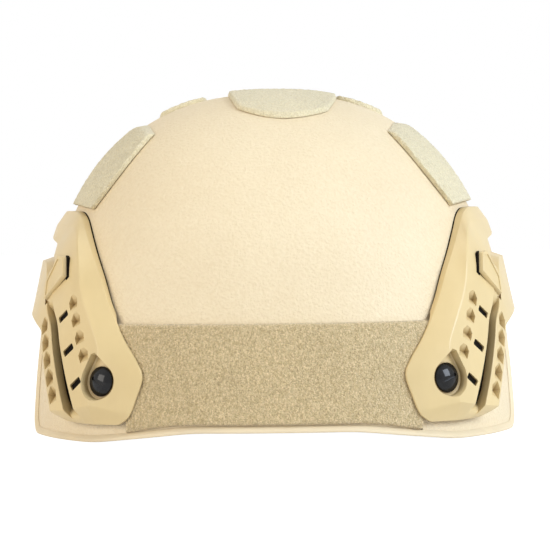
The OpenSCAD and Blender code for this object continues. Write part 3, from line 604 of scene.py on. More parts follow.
def shellRings(off):
    s, count = shellSize, len(rimPath)
    even = midAround - 4 * midAround * np.arange(count) / count
    rings = []
    for u in np.linspace(0, 1, shellMesh["rows"] + 1)[:-1]:
        share = u * u * (3 - 2 * u)
        around = rimPath[:, 0] * (1 - share) + even * share
        height = rimPath[:, 1] + (s["crownHeight"] + off - rimPath[:, 1]) * math.sin(math.pi / 2 * u)
        rings.append(skin(around, height, off))
    return rings


boreSize = {"bolt": 2.7, "screw": 2.2, "past": 30}
rearBolt = (124.6, 28.7)
frontBolt = (-100.0, 32.0)
shroudScrews = [(-midAround - 24, 60.0), (-midAround + 24, 60.0), (-midAround, 102.0)]


def boreThrough(place, radius):
    past = boreSize["past"]
    return prism("hole", circleOf(32) * radius, [(-past, 0), (past, 0)], placeMatrix(*place))


def makeShell():
    outer, inner = shellRings(0), shellRings(-shellSize["wall"])
    piece = loftPiece("shell_bowl", outer[::-1] + inner)
    boltHoles = [boreThrough(p, boreSize["bolt"]) for p in (rearBolt, frontBolt)]
    screwHoles = [boreThrough(p, boreSize["screw"]) for p in shroudScrews]
    boltHoles += [mirroredPiece(h, "hole") for h in boltHoles]
    carve(piece, boltHoles + screwHoles, sharp=40)
    return fit(piece, paint, "shell", slot="shell")


makeShell()
print("shell made")

# Edge trim
trimSize = {"thick": 1.4, "reach": 5.0, "bead": 1.7, "slope": 2.0, "round": 0.65, "lip": 0.06}


def makeTrim():
    s, t = shellSize, trimSize
    seat, wall, rest = s["seat"], s["wall"], s["rest"]
    outer, inner = seat + t["thick"], -wall - seat - t["thick"]
    section = [(t["bead"] - t["slope"], outer), (-rest, outer), (-rest, inner), (t["reach"], inner),
               (t["reach"], -wall - t["lip"]), (-seat, -wall - seat), (-seat, seat), (t["bead"], t["lip"])]
    radii = [1.0, 1.0, 1.6, t["round"], t["round"], 0.3, 0.3, 0.1]
    section = filletCorners(section, radii, 4)
    before, after = np.roll(rimPath, 1, 0), np.roll(rimPath, -1, 0)
    run = after - before
    run[0] = run[-1] = (-1, 0)  # the path's two ends meet at the nape
    run /= np.linalg.norm(run, axis=1)[:, None]
    away = np.column_stack([run[:, 1], -run[:, 0]])
    rings = [skin(rimPath[j, 0] + away[j, 0] * section[:, 0],
                  rimPath[j, 1] + away[j, 1] * section[:, 0], section[:, 1])
             for j in range(len(rimPath))]
    piece = loftPiece("edge_trim_channel", rings, closed=True, sharp=50)
    return fit(piece, rubber, "edge_trim", slot="trim")


makeTrim()
print("edge trim made")

# Loop panel and patches: a woven backing with a ragged pile on it
pileSize = {"thick": 2.2, "edgeRound": 1.3, "tuft": 0.42, "tuftPitch": 1.5, "fineShare": 0.45,
            "backing": 0.05, "grid": 0.75}


def rounded(u, v, half, roundness):  # a square drawn in towards an oval
    return (half[0] * u * np.sqrt(1 - roundness * v * v / 2),
            half[1] * v * np.sqrt(1 - roundness * u * u / 2))


def topSpot(centre, half, roundness):
    def spot(u, v):
        a, b = rounded(u, v, half, roundness)
        return centre[0] + a, centre[1] + b
    return spot


def pileHeight(points, edgeDistance, seed):
    p = pileSize
    inward = np.clip(edgeDistance / p["edgeRound"], 0, 1)
    dome = np.sqrt(1 - (1 - inward) ** 2)
    flat = points.reshape(-1, 3)
    shiftBy = Vector((seed * 7.3, seed * 3.1, seed * 1.7))
    tufts = np.array([noise.noise(Vector(q) / p["tuftPitch"] + shiftBy) for q in flat])
    fine = np.array([noise.noise(Vector(q) / (p["tuftPitch"] * p["fineShare"]) + shiftBy) for q in flat])
    ragged = (tufts + 0.6 * fine).reshape(edgeDistance.shape) * p["tuft"]
    return shellSize["seat"] + p["thick"] * (0.25 + 0.75 * dome) + ragged * (0.3 + 0.7 * inward)


def pilePatch(name, spot, surface, size, seed):
    cols, rows = (int(across / pileSize["grid"]) for across in size)
    u, v = np.meshgrid(np.linspace(-1, 1, cols), np.linspace(-1, 1, rows))
    a, b = spot(u, v)
    edge = np.minimum((1 - np.abs(u)) * size[0] / 2, (1 - np.abs(v)) * size[1] / 2)
    top = surface(a, b, pileHeight(surface(a, b, 2.0), edge, seed))
    return slabPiece(name, top, surface(a, b, shellSize["seat"] + pileSize["backing"]), 60)


rearPanel = {"top": 56.4, "margin": 1.9, "half": 63.0, "splay": 3.0, "wing": 6.0, "size": (134, 50)}


def rearPanelSpot(u, v):
    p, r = rearPanel, rimShape
    half = p["half"] + p["splay"] * (v + 1) / 2 + p["wing"] * np.clip(v, 0, None) ** 2
    rise = np.clip((np.abs(u * half) - r["napeHalf"]) / r["napeRun"], 0, 1)
    rise = rise * rise * (3 - 2 * rise)
    low = p["margin"] + r["nape"] + (shellSize["rest"] - r["nape"]) * rise
    return midAround - u * half, low + (p["top"] - low) * (v + 1) / 2


patches = {
    "crown": {"centre": (5.8, -14), "half": (28, 61), "roundness": 0.72, "size": (56, 124)},
    "front": {"centre": (46.5, 20), "half": (13, 26), "roundness": 0.5, "size": (26, 52)},
    "side": {"centre": (46.0, 133.35), "half": (54.0, 20.15), "roundness": 0.3, "size": (108, 40),
             "slant": 0.4, "droop": 4.0},
}


def topPatch(name, patch, seed):
    spot = topSpot(patch["centre"], patch["half"], patch["roundness"])
    return pilePatch(name, spot, topSkin, patch["size"], seed)


def sidePatchSpot(u, v):  # lower towards its front end
    p = patches["side"]
    a, b = rounded(-u, v, p["half"], p["roundness"])
    droop = p["droop"] * np.clip(-u, 0, None) ** 2
    return p["centre"][0] + a + p["slant"] * b, p["centre"][1] + b - droop


def makeLoops():
    panel = pilePatch("rear_panel_pile", rearPanelSpot, skin, rearPanel["size"], 1)
    fit(panel, loopKhaki, "rear_loop_panel", slot="loop")
    fit(topPatch("crown_pile", patches["crown"], 2), loopPale, "crown_loop_patch", slot="pale_loop")
    side = pilePatch("side_pile_right", sidePatchSpot, skin, patches["side"]["size"], 3)
    front = topPatch("front_pile_right", patches["front"], 4)
    fitPair(side, loopPale, "side_loop_patch_right", slot="pale_loop", sharp=60)
    fitPair(front, loopPale, "front_loop_patch_right", slot="pale_loop", sharp=60)


makeLoops()
print("loop panel and patches made")

# Rails: one bevelled section swept along four lines on the shell
railSize = {
    "gap": 3.2, "skirt": 0.7, "overPanel": 2.6, "face": 10.4, "edge": 4.0,
    "grooveMouth": 6.0, "grooveFloor": 7.6, "grooveDepth": 6.2,
    "archFace": 7.6, "archCrease": 5.8, "archBack": 1.2,
    "archMouth": 14.0, "archFloor": 10.0, "archBottom": 2.8,
    "slotLong": 7.2, "slotWide": 3.4, "slotPitch": 16.5, "slots": 3, "slotRound": 0.7, "slotLean": -16,
    "notch": 6.4, "notchDepth": 3.7, "notchPitch": 8.6,
    "notchRows": ((4, -4.5, 7.8), (5, -2.4, -15.6)),  # how many, where the first is, how far across the leg
    "headRound": 14.2, "headRoom": 1.6, "seatRise": 1.6, "dropReach": 12.4, "dropLean": -12,
    "stepsPerStretch": 9,
}
railParts = {  # counted along the lines below: 0 is the leg's foot, 16 the front foot
    "endRun": 1.2, "legEnd": 7.5, "archRun": 2.5, "armEnd": 14, "armEndRun": 2, "armStart": 8.2,
    "panelEnd": 5.45, "panelRun": 0.25, "skirtRun": 0.8,
    # steps where the painted shadows in the groove and under the rail's edge begin and end
    "grooveShadowFrom": 9, "grooveShadowTo": 66, "edgeShadowFrom": 53, "edgeShadowTo": 137,  # these four in steps
}
railLines = {
    "edge": [(133, 9.2), (137.4, 13.2), (140.4, 21.5), (142.8, 31.6), (139.6, 39.3), (132.4, 49.8),
             (122.3, 66), (112.8, 81.5), (97.6, 98), (82, 107.8), (60, 110.2), (0, 109.5), (-46, 107),
             (-80, 90), (-104, 62), (-118, 32), (-112, 17)],
    "crease": [(120, 8.9), (121, 16.5), (122.5, 24), (124.3, 33), (124.6, 41), (123.3, 48),
               (117.5, 59), (110.5, 71), (104, 87.5), (92, 100.5), (68, 103.5), (0, 102.5), (-42, 99.5),
               (-72, 84), (-94, 58), (-108, 32), (-107, 17)],
    "groove": [(113, 8.9), (110.4, 14.5), (107.3, 21.8), (103.4, 31), (99.9, 39.3), (96.8, 46.7),
               (92.9, 55.9), (86.5, 64), (79, 78), (68, 88.5), (50, 91.3), (0, 91.5), (-34, 88),
               (-56, 74), (-74, 50), (-89, 30), (-95, 17)],
    "lip": [(103, 9.6), (97.2, 13.2), (94.4, 18.5), (91.3, 25.9), (87.7, 34.2), (84.6, 41.5),
            (80.7, 50.7), (72, 54.3), (62, 56.3), (48, 57), (30, 57), (0, 56.5), (-30, 56),
            (-44, 53), (-58, 40), (-73, 24), (-80, 15)],
}


def along(points, t):  # a smooth curve through the points
    points = np.asarray(points, float)
    last = len(points) - 1
    i = min(int(t), last - 1)
    f = t - i
    b, c = points[i], points[i + 1]
    a = points[i - 1] if i > 0 else 2 * b - c
    d = points[i + 2] if i < last - 1 else 2 * c - b
    square, cube = 2 * a - 5 * b + 4 * c - d, 3 * b - 3 * c + d - a
    return 0.5 * (2 * b + (c - a) * f + square * f * f + cube * f ** 3)


def ease(t):
    t = min(1, max(0, t))
    return t * t * (3 - 2 * t)


def between(a, b, t):
    return a * (1 - t) + b * t


def grooveOpening(t):  # shut at the leg's foot and where the arch begins
    p = railParts
    end = min(1, min(t, len(railLines["edge"]) - 1 - t) / p["endRun"])
    return (ease(p["legEnd"] - t) if t < p["legEnd"] + 0.1 else ease(t - p["armStart"])) * end * end


def railSection(t):
    r, p = railSize, railParts
    last = len(railLines["edge"]) - 1
    end = min(1, min(t, last - t) / p["endRun"])
    arch = ease((t - p["legEnd"]) / p["archRun"]) * ease((p["armEnd"] - t) / p["armEndRun"])
    opened = grooveOpening(t)
    edge, crease, groove, lip = (along(railLines[k], t) for k in ("edge", "crease", "groove", "lip"))
    band = between(r["edge"], between(r["face"], r["archFace"], arch), end)
    face = between(r["edge"], between(r["face"], r["archCrease"], arch), end)
    bottom = between(min(band, face), between(r["face"] - r["grooveDepth"], r["archBottom"], arch), opened)
    mouth = between(r["grooveMouth"], r["archMouth"], arch) / 2
    base = between(mouth * 0.9, between(r["grooveFloor"], r["archFloor"], arch) / 2, opened)
    back = between(r["gap"], r["archBack"], arch)
    offPanel = ease((t - p["panelEnd"]) / p["panelRun"]) * ease((last - p["skirtRun"] - t) / p["skirtRun"])
    skirt = between(min(back, r["overPanel"]), min(back, r["skirt"]), offPanel)
    toEdge, toLip = unit(crease - groove), unit(lip - groove)
    corners = [  # place, height, radius
        (edge, skirt, 0.3), (edge, r["edge"], 0.7), (crease, face, 1.2),
        (groove + toEdge * mouth, face, 0.5), (groove + toEdge * base, bottom, 0.3),
        (groove + toLip * base, bottom, 0.3), (groove + toLip * mouth, band, 0.5),
        (between(groove, lip, 0.93), band + 0.2, 0.8), (lip, between(r["edge"], band, 0.4 * end), 0.7),
        (lip, back, 0.5), (groove, back, 0.0), (crease, back, 0.0)]
    points = [skin(place[0], place[1], off) for place, off, _ in corners]
    return filletCorners(points, [c[2] for c in corners], 4)


legTop = np.array([101.3, 57.3])
legRun = unit(np.array([12.9, -30.4]))
legTilt = math.degrees(math.atan2(-legRun[0], -legRun[1]))
plateShape = {
    "place": (89, 75.5),
    "outline": [(-7.3, 9.8), (-11.6, 0.8), (5.3, -11.2), (7.2, -3.1), (-2.1, 10.6)],
    "moat": [(-6.6, 11.2), (-9.2, 10.0), (-13.4, 0.9), (-11.6, -0.9), (-9.6, 0.6), (-5.6, 9.0)],
    "tip": [(5.2, -11.6), (3.2, -12.1), (6.6, -14.0), (8.0, -10.4)],
}


def legPlace(s, v):
    return legTop + s * legRun + v * np.array([-legRun[1], legRun[0]])


def faceMatrix(place, lean=0.0):
    return placeMatrix(*place) @ shift(0, 0, depthAt(*place, railSize["face"])) @ turn(lean)


def notchCutter(place):  # goes in from a point above, comes out below its deepest line
    side, deep = railSize["notch"] / 2, railSize["notchDepth"]
    points = [(0, 4.8, 1), (-side - 0.5, 0.4, 1), (-side + 0.3, -6.2, 1), (side - 0.3, -6.2, 1),
              (side + 0.5, 0.4, 1), (-side + 0.3, 0, -deep), (side - 0.3, 0, -deep)]
    faces = [(4, 3, 2, 1, 0), (0, 1, 5), (0, 6, 4), (0, 5, 6), (1, 2, 5), (4, 6, 3), (2, 3, 6, 5)]
    return meshPiece("notch", moved(points, faceMatrix(place, legTilt)), faces)


def slotMatrix(i):
    return faceMatrix(legPlace(i * railSize["slotPitch"], 0), legTilt + railSize["slotLean"])


def slotCutter(i):
    r = railSize
    box = rectangle(r["slotLong"] / 2, r["slotWide"] / 2, r["slotRound"], 3)
    return prism("slot", box, [(-4.5, 0), (-0.5, 0), (0.4, 0.6), (4.0, 3.4)], slotMatrix(i))


def grooveShadow(t):  # painted shadow: black strip along the bottom of the leg's groove
    r = railSize
    opened = grooveOpening(t)
    crease, groove, lip = (along(railLines[k], t) for k in ("crease", "groove", "lip"))
    bottom = between(r["edge"], r["face"] - r["grooveDepth"], opened) + 0.03
    toEdge, toLip = unit(crease - groove), unit(lip - groove)
    wide = between(r["grooveMouth"] * 0.45, r["grooveFloor"] / 2, opened) - 0.05
    rise = 0.1 + 2.0 * opened * ease((t - 1) / 1.4)
    corners = [(toEdge, wide, 0), (toEdge, wide - 0.15 * opened, rise),
               (toLip, wide - 0.1 - 0.3 * opened, rise * 0.7), (toLip, wide, 0)]
    return [skin(*(groove + way * reach), bottom + up) for way, reach, up in corners]


def railEdgeShadow(t):  # painted shadow: thin black strip between the rail's inner edge and the shell
    edge, crease = along(railLines["edge"], t), along(railLines["crease"], t)
    inward = unit(crease - edge)
    grown = ease((t - 5.7) / 3.4)  # thins out towards the loop panel
    near, high = 0.5 - 0.3 * grown, 0.1 + 0.52 * grown
    corners = [(near, 0.06), (near, high), (2.6, high), (2.6, 0.06)]
    return [skin(*(edge + inward * reach), up) for reach, up in corners]


def makePaintedShadows():  # painted shadow: black pieces behind the slots, round the blank plate's foot, in the groove and under the rail's edge
    r, p = railSize, railParts
    # painted shadow at the bottom of each slot
    box = rectangle(r["slotLong"] / 2 - 0.05, r["slotWide"] / 2 - 0.05, r["slotRound"] - 0.05, 3)
    shadowPieces = [prism("slot_plug_%d_right" % i, box, [(-4.45, 0), (-1.5, 0), (-1.3, -0.2)], slotMatrix(i))
             for i in range(r["slots"])]
    # painted shadow in the moat round the plate's foot
    shadowPieces.append(prism("plate_gasket_right", plateShape["moat"], [(-3.4, -0.05), (-0.9, -0.05), (-0.8, -0.2)],
                       faceMatrix(plateShape["place"])))
    # painted shadow along the groove's floor
    strip = [k / r["stepsPerStretch"] for k in range(p["grooveShadowFrom"], p["grooveShadowTo"])]
    shadowPieces.append(loftPiece("groove_strip_right", [grooveShadow(t) for t in strip]))
    # painted shadow under the rail's inner edge
    edgeShadowSteps = [k / r["stepsPerStretch"] for k in range(p["edgeShadowFrom"], p["edgeShadowTo"])]
    shadowPieces.append(loftPiece("rail_gasket_right", [railEdgeShadow(t) for t in edgeShadowSteps]))
    for shadowPiece in shadowPieces:
        fitPair(shadowPiece, blackPlasticAndShadow, slot="buckle")


def teardrop(radius, reach, lean):  # a round seat that runs up to a blunt tip
    away = math.acos(radius / (reach + 1.6))
    angles = np.linspace(math.pi / 2 + away, math.pi / 2 - away + 2 * math.pi, 49)
    ring = [(radius * math.cos(a), radius * math.sin(a)) for a in angles]
    return np.array([(1.2, reach), (-1.2, reach)] + ring) @ turn(lean)[:2, :2].T


def makeRails():
    r = railSize
    last = len(railLines["edge"]) - 1
    rings = [railSection(t) for t in np.linspace(0, last, last * r["stepsPerStretch"] + 1)]
    for k in (0, -1):  # ease the two ends over
        centre = rings[k].mean(0)
        rings[k] = centre + (rings[k] - centre) * 0.97
    rail = loftPiece("rail_body", rings, sharp=30)
    bosses, cutters, circle = [], [], circleOf(64)
    for place in (rearBolt, frontBolt):
        m, seat = placeMatrix(*place), r["edge"] + r["seatRise"]
        bosses.append(prism("boss", circle * r["headRound"] / 2, [(0.3, 0), (r["edge"] + 0.3, 0)], m))
        cutters.append(prism("bore", circle * boreSize["bolt"], [(-20, 0), (20, 0)], m))
        drop = teardrop(r["headRound"] / 2 + r["headRoom"], r["dropReach"], r["dropLean"])
        levels = [(seat, -0.9), (seat + 0.5, 0), (seat + 3.4, 0.3), (seat + 16, 5)]
        cutters.append(prism("recess", drop, levels, m))
    carve(rail, bosses, "UNION")
    cutters += [slotCutter(i) for i in range(r["slots"])]
    for count, first, across in r["notchRows"]:
        cutters += [notchCutter(legPlace(i * r["notchPitch"] + first, across)) for i in range(count)]
    plate, m = filletCorners(plateShape["outline"], [0.5] * 5, 3), faceMatrix(plateShape["place"])
    cutters.append(prism("moat", plateShape["moat"], [(-3.5, 0), (0.2, 0.05), (6, 0.4)], m))
    tip = filletCorners(plateShape["tip"], [0.3] * 4, 2)
    cutters.append(prism("tip", tip, [(-1.6, 0), (0.2, 0), (6, 0.4)], m))
    carve(rail, cutters, sharp=24)
    rail.name = "rail_right_moulding"
    badge = prism("rail_right_plate", plate, [(-0.6, 0.5), (0, 0.45), (1.25, 0), (1.5, -0.3)], m)
    carve(badge, [prism("face", plate, [(1.05, -1.9), (1.5, -1.7), (3, -1.6)], m)], sharp=25)
    for piece in (rail, badge):
        fitPair(piece, railPlastic, "rail_right", slot="rail", sharp=24)


makeRails()
makePaintedShadows()
print("rails made")

# Rail bolts: domed heads with a driver slot, on plain shanks. Each goes through the shell, and through
# the nape band in the rear, and holds a strap hanger's ring under its nut.
boltSize = {"round": 14.2, "high": 3.6, "shank": 2.5, "slotWide": 1.7, "slotDeep": 1.5, "slotTurn": 20,
            "bandRoom": 1.8, "ringLift": 0.65, "ringThick": 1.5, "pastRing": 4.0}


def nutTop(place, bandRoom):
    b, s = boltSize, shellSize
    return depthAt(*place, -s["wall"] - s["innerSeat"] - bandRoom) - b["ringLift"] - b["ringThick"]


def boltHead(matrix, shankEnd):
    b = boltSize
    rim, seat = b["round"] / 2, railSize["edge"] + railSize["seatRise"]
    domeRise = b["high"] - 0.9
    domeRound = (rim ** 2 + domeRise ** 2) / (2 * domeRise)
    domeTop = seat + b["high"] - domeRound
    dome = [(domeRound * math.sin(a), domeTop + domeRound * math.cos(a))
            for a in np.linspace(math.asin((rim - 0.35) / domeRound), 0.02, 16)]
    profile = [(b["shank"], shankEnd), (b["shank"], seat - 0.01), (rim - 0.3, seat), (rim, seat + 0.25),
               (rim, seat + 0.75), (rim - 0.12, seat + 0.98)] + dome
    head = lathe("bolt", profile, 72, matrix)
    slot = rectangle(b["round"] * 0.3, b["slotWide"] / 2, 0.8, 4)
    floor = seat + b["high"] - b["slotDeep"]
    levels = [(floor, 0), (floor + 1.2, 0), (floor + 3, 0.5)]
    return carve(head, [prism("slot", slot, levels, matrix @ turn(b["slotTurn"]))])


def makeBolts():
    for side, place, bandRoom in (("rear", rearBolt, boltSize["bandRoom"]), ("front", frontBolt, 0.0)):
        bolt = boltHead(placeMatrix(*place), nutTop(place, bandRoom) - boltSize["pastRing"])
        bolt.name = side + "_bolt_right"
        fitPair(bolt, blackSteel, "rail_bolts_" + side, slot="black_steel")


makeBolts()
print("rail bolts made")

# Shroud: a moulded plate with a dovetail socket and three screws
shroudSize = {"halfWide": 33.0, "halfHigh": 29.0, "middle": 80.0, "thick": 6.0, "edgeRound": 1.6,
              "screwSeat": 3.7, "headRound": 9.0, "nutThick": 1.2, "seatRoom": 0.5, "socketDrop": 5,
              "socket": [(-13, -12), (13, -12), (17, 12), (-17, 12)], "window": (20, 25, -7, 9)}


def patchSpot(centre, half, roundness):
    def spot(u, v):
        a, b = rounded(-u, v, half, roundness)
        return centre[0] + a, centre[1] + b
    return spot


def platePiece(name, spot, surface, low, high, size, edgeRound, pitch=1.0):
    cols, rows = (max(8, int(across / pitch)) for across in size)
    fine = np.sin(np.linspace(-1, 1, cols) * math.pi / 2), np.sin(np.linspace(-1, 1, rows) * math.pi / 2)
    u, v = np.meshgrid(*fine)
    edge = np.minimum((1 - np.abs(u)) * size[0] / 2, (1 - np.abs(v)) * size[1] / 2)
    drop = edgeRound * (1 - np.sqrt(1 - (1 - np.clip(edge / edgeRound, 0, 1)) ** 2))
    a, b = spot(u, v)
    return slabPiece(name, surface(a, b, high - drop), surface(a, b, low), 40)


def makeShroudPlate():
    q, s = shroudSize, shellSize
    spot = patchSpot((-midAround, q["middle"]), (q["halfWide"], q["halfHigh"]), 0.55)
    plate = platePiece("shroud_moulding", spot, skin, s["seat"], s["seat"] + q["thick"],
                       (2 * q["halfWide"], 2 * q["halfHigh"]), q["edgeRound"])
    outline = filletCorners(q["socket"], [1.5] * 4, 4)
    middle = placeMatrix(-midAround, q["middle"] - q["socketDrop"])
    levels = [(s["seat"] + 2, 0), (5.4, 0), (7.4, 1.6), (12, 1.6)]
    cutters = [prism("socket", outline, levels, middle)]
    near, far, foot, top = q["window"]
    for side in (-1, 1):  # weight-saving windows beside the socket
        corners = [(side * near, foot), (side * far, foot), (side * far, top), (side * near, top)]
        cutters.append(prism("window", filletCorners(corners, [2.0] * 4, 4), [(3.4, 0), (9, 0.6)], middle))
    circle, seatRound = circleOf(48), q["headRound"] / 2 + q["seatRoom"]
    for place in shroudScrews:
        m = placeMatrix(*place)
        cutters.append(prism("bore", circle * boreSize["screw"], [(-5, 0), (12, 0)], m))
        cutters.append(prism("seat", circle * seatRound, [(q["screwSeat"], 0), (5.6, 0), (9, 1.6)], m))
    fit(carve(plate, cutters, sharp=35), railPlastic, "shroud", slot="rail")


def makeShroudScrew(i, place):
    q = shroudSize
    m, seat, rim = placeMatrix(*place), q["screwSeat"], q["headRound"] / 2
    foot = depthAt(*place, -shellSize["wall"] - shellSize["innerSeat"])
    profile = [(2.0, foot - 0.8), (2.0, seat), (rim - 0.2, seat), (rim, seat + 0.3), (rim, seat + 0.9),
               (rim - 0.35, seat + 1.4), (rim - 1.2, seat + 1.85), (rim - 2.6, seat + 2.15),
               (0.4, seat + 2.2)]
    screw = lathe("shroud_screw_%d" % i, profile, 48, m)
    slot = rectangle(3, 0.6, 0.5, 4)
    carve(screw, [prism("slot", slot, [(seat + 1.2, 0), (seat + 4, 0.2)], m @ turn(35 + 40 * i))])
    fit(screw, blackSteel, "shroud_screws", slot="black_steel")
    bore, top = boreSize["screw"], foot - 0.15
    low = top - q["nutThick"]
    profile = [(bore, low + 0.2), (bore + 0.2, low), (3.9, low), (4.2, low + 0.5), (5.2, low + 0.7),
               (5.5, low + 0.9), (5.5, top - 0.1), (5.4, top), (bore + 0.2, top), (bore, top - 0.2)]
    nut = lathe("shroud_nut_%d" % i, profile, 48, m, closed=True, sharp=40)
    fit(nut, steel, "shroud_nuts", slot="steel")


makeShroudPlate()
for number, place in enumerate(shroudScrews):
    makeShroudScrew(number, place)
print("shroud made")

# Nuts inside, each with a flange and two spanner dimples
nutSize = {"flange": 7.5, "thick": 3.0, "dimple": 0.6, "dimpleOut": 3.9}


def makeNuts():
    n, bore = nutSize, boreSize["bolt"]
    for side, place, bandRoom in (("rear", rearBolt, boltSize["bandRoom"]), ("front", frontBolt, 0.0)):
        m, top, flange = placeMatrix(*place), nutTop(place, bandRoom), n["flange"]
        low = top - n["thick"]
        profile = [(bore, low + 0.3), (bore + 0.3, low), (4.6, low), (5.1, low + 0.4), (5.4, top - 1.4),
                   (6.0, top - 1.1), (flange - 0.2, top - 0.9), (flange, top - 0.7), (flange, top - 0.1),
                   (flange - 0.1, top), (bore + 0.2, top), (bore, top - 0.2)]
        nut = lathe(side + "_nut_right", profile, 64, m, closed=True, sharp=40)
        dimples = [circleOf(24) * n["dimple"] + (x, 0) for x in (-n["dimpleOut"], n["dimpleOut"])]
        carve(nut, [prism("dimple", d, [(low - 1, 0), (low + 1.0, 0)], m) for d in dimples], sharp=40)
        fitPair(nut, steel, "rail_nuts_" + side, slot="steel", sharp=40)


makeNuts()
print("nuts made")

# Hard pieces of the harness keep the frame's shape, with their edges eased by so many millimetres
easedEdges = {
    "strap_hangers_front": (0.3, steel, "steel"),
    "strap_hangers_rear": (0.3, steel, "steel"),
    "junction_right": (0.7, blackPlasticAndShadow, "buckle"),
    "junction_left": (0.7, blackPlasticAndShadow, "buckle"),
    "adjuster_front_right": (0.5, blackPlasticAndShadow, "buckle"),
    "adjuster_front_left": (0.5, blackPlasticAndShadow, "buckle"),
    "adjuster_rear_right": (0.5, blackPlasticAndShadow, "buckle"),
    "adjuster_rear_left": (0.5, blackPlasticAndShadow, "buckle"),
    "buckle_socket": (0.6, blackPlasticAndShadow, "buckle"),
    "buckle_plug": (0.4, blackPlasticAndShadow, "buckle"),
}
easing = {"weld": 2e-6, "flatBelow": 1, "cornerAbove": 32, "segments": 2, "profile": 0.6}


def easedCopy(node, width):
    piece = bpy.data.objects.new(node + "_eased", cadNodes[node].data.copy())
    bpy.context.scene.collection.objects.link(piece)
    bm = bmesh.new()
    bm.from_mesh(piece.data)
    bmesh.ops.remove_doubles(bm, verts=bm.verts, dist=easing["weld"])
    flat = math.radians(easing["flatBelow"])
    bmesh.ops.dissolve_limit(bm, angle_limit=flat, verts=bm.verts, edges=bm.edges)
    bmesh.ops.connect_verts_concave(bm, faces=bm.faces)
    least = math.radians(easing["cornerAbove"])
    corners = [e for e in bm.edges if len(e.link_faces) == 2 and e.calc_face_angle_signed(0) > least]
    bmesh.ops.bevel(bm, geom=corners, offset=width * mm, segments=easing["segments"],
                    profile=easing["profile"], affect="EDGES", clamp_overlap=True)
    bmesh.ops.recalc_face_normals(bm, faces=bm.faces)
    bm.to_mesh(piece.data)
    bm.free()
    shadeSmooth(piece, 30)
    return piece


for node, (width, finish, slotName) in easedEdges.items():
    fit(easedCopy(node, width), finish, node, slot=slotName)
print("harness hardware made")

# Hook tape discs inside, where the pads stick on
padSeats = {"crown": (0.0, -4.0), "rear": (midAround, 72.0), "front": (-midAround, 82.0),
            "frontSide": (-60.0, 96.0), "rearSide": (66.0, 92.0)}
discSize = {"thick": 1.5, "big": 20, "small": 16, "roundness": 0.98, "edgeRound": 0.3, "grid": 1.4,
            "frontOut": 38}


def hookDisc(name, centre, half, surface=skin):
    d = discSize
    high = -shellSize["wall"] - shellSize["innerSeat"]
    makeSpot = topSpot if surface is topSkin else patchSpot
    return platePiece(name, makeSpot(centre, (half, half), d["roundness"]), surface, high - d["thick"], high,
                      (2 * half, 2 * half), d["edgeRound"], d["grid"])


def makeHookDiscs():
    big, small = discSize["big"], discSize["small"]
    crown = hookDisc("hook_disc_crown", padSeats["crown"], big, topSkin)
    rear = hookDisc("hook_disc_rear", padSeats["rear"], big)
    for piece in (crown, rear):
        fit(piece, hooks, "hook_discs", slot="hook")
    places = {"front_side": padSeats["frontSide"], "rear_side": padSeats["rearSide"],
              "front": (padSeats["front"][0] + discSize["frontOut"], padSeats["front"][1])}
    for label, place in places.items():
        disc = hookDisc("hook_disc_%s_right" % label, place, small)
        fitPair(disc, hooks, "hook_discs", slot="hook", sharp=40)


makeHookDiscs()
print("hook discs made")

# Sewing: short bent stitches laid along a path
stitchSize = {"length": 2.1, "pitch": 2.9, "radius": 0.24, "bow": 0.9, "sink": 0.08, "rings": 7, "sides": 6}


def lengthsAlong(points):
    return np.concatenate([[0], np.cumsum(np.linalg.norm(np.diff(points, axis=0), axis=1))])


def pick(at, run, rows):  # rows read off at a length along the path
    return np.stack([np.interp(at, run, rows[:, k]) for k in range(3)], -1)


def resampled(points, step):  # a closed path in even steps
    points = np.concatenate([points, points[:1]])
    run = lengthsAlong(points)
    count = max(2, int(round(run[-1] / step)))
    return pick(np.linspace(0, run[-1], count + 1)[:-1], run, points)


def stitches(name, lines):  # lines are (points, normals) pairs
    t = stitchSize
    count, bow = t["sides"], t["radius"] * t["bow"]
    angles = np.linspace(0, 2 * math.pi, count + 1)[:-1]
    points, faces = [], []
    for path, normals in lines:
        run = lengthsAlong(path)
        for at in np.arange(t["pitch"] / 2, run[-1] - t["length"] / 2, t["pitch"]):
            mid = pick(at, run, path)
            forward = unit(pick(at + 0.5, run, path) - mid)
            out = unit(pick(at, run, normals))
            side = np.cross(forward, out)
            first = len(points)
            for i, f in enumerate(np.linspace(-1, 1, t["rings"])):
                girth = t["radius"] * math.sqrt(max(0.05, 1 - f ** 4))
                lift = bow * (1 - f * f) - t["sink"]
                for a in angles:
                    points.append(mid + forward * f * t["length"] / 2 + out * (lift + girth * math.sin(a))
                                  + side * girth * math.cos(a))
                if i:
                    for k in range(count):
                        p, q = first + (i - 1) * count + k, first + (i - 1) * count + (k + 1) % count
                        faces.append((p, q, q + count, p + count))
            end = len(points)
            faces += [tuple(range(first, first + count))[::-1], tuple(range(end - count, end))]
    return meshPiece(name, points, faces, 70)


# Webbing: a flat strip swept along a path, woven by its own length and width
def stripPiece(name, path, normals, sides, width, thick, narrow=None):
    edge, w, h = min(thick * 0.48, 0.6), width / 2, thick / 2
    section = filletCorners([(-w, -h), (0, -h), (w, -h), (w, h), (0, h), (-w, h)],
                            [edge, 0, edge, edge, 0, edge], 4)
    narrow = np.ones(len(path)) if narrow is None else narrow
    rings = [p + np.outer(section[:, 0] * k, s) + np.outer(section[:, 1], n)
             for p, n, s, k in zip(path, normals, sides, narrow)]
    piece = loftPiece(name, rings, sharp=50)
    across = np.tile(section[:, 0] + section[:, 1], len(path)) * mm
    length = np.repeat(lengthsAlong(path), len(section)) * mm
    layer = piece.data.uv_layers.new(name="weave")
    for loop in piece.data.loops:
        layer.data[loop.index].uv = (across[loop.vertex_index], length[loop.vertex_index])
    return piece


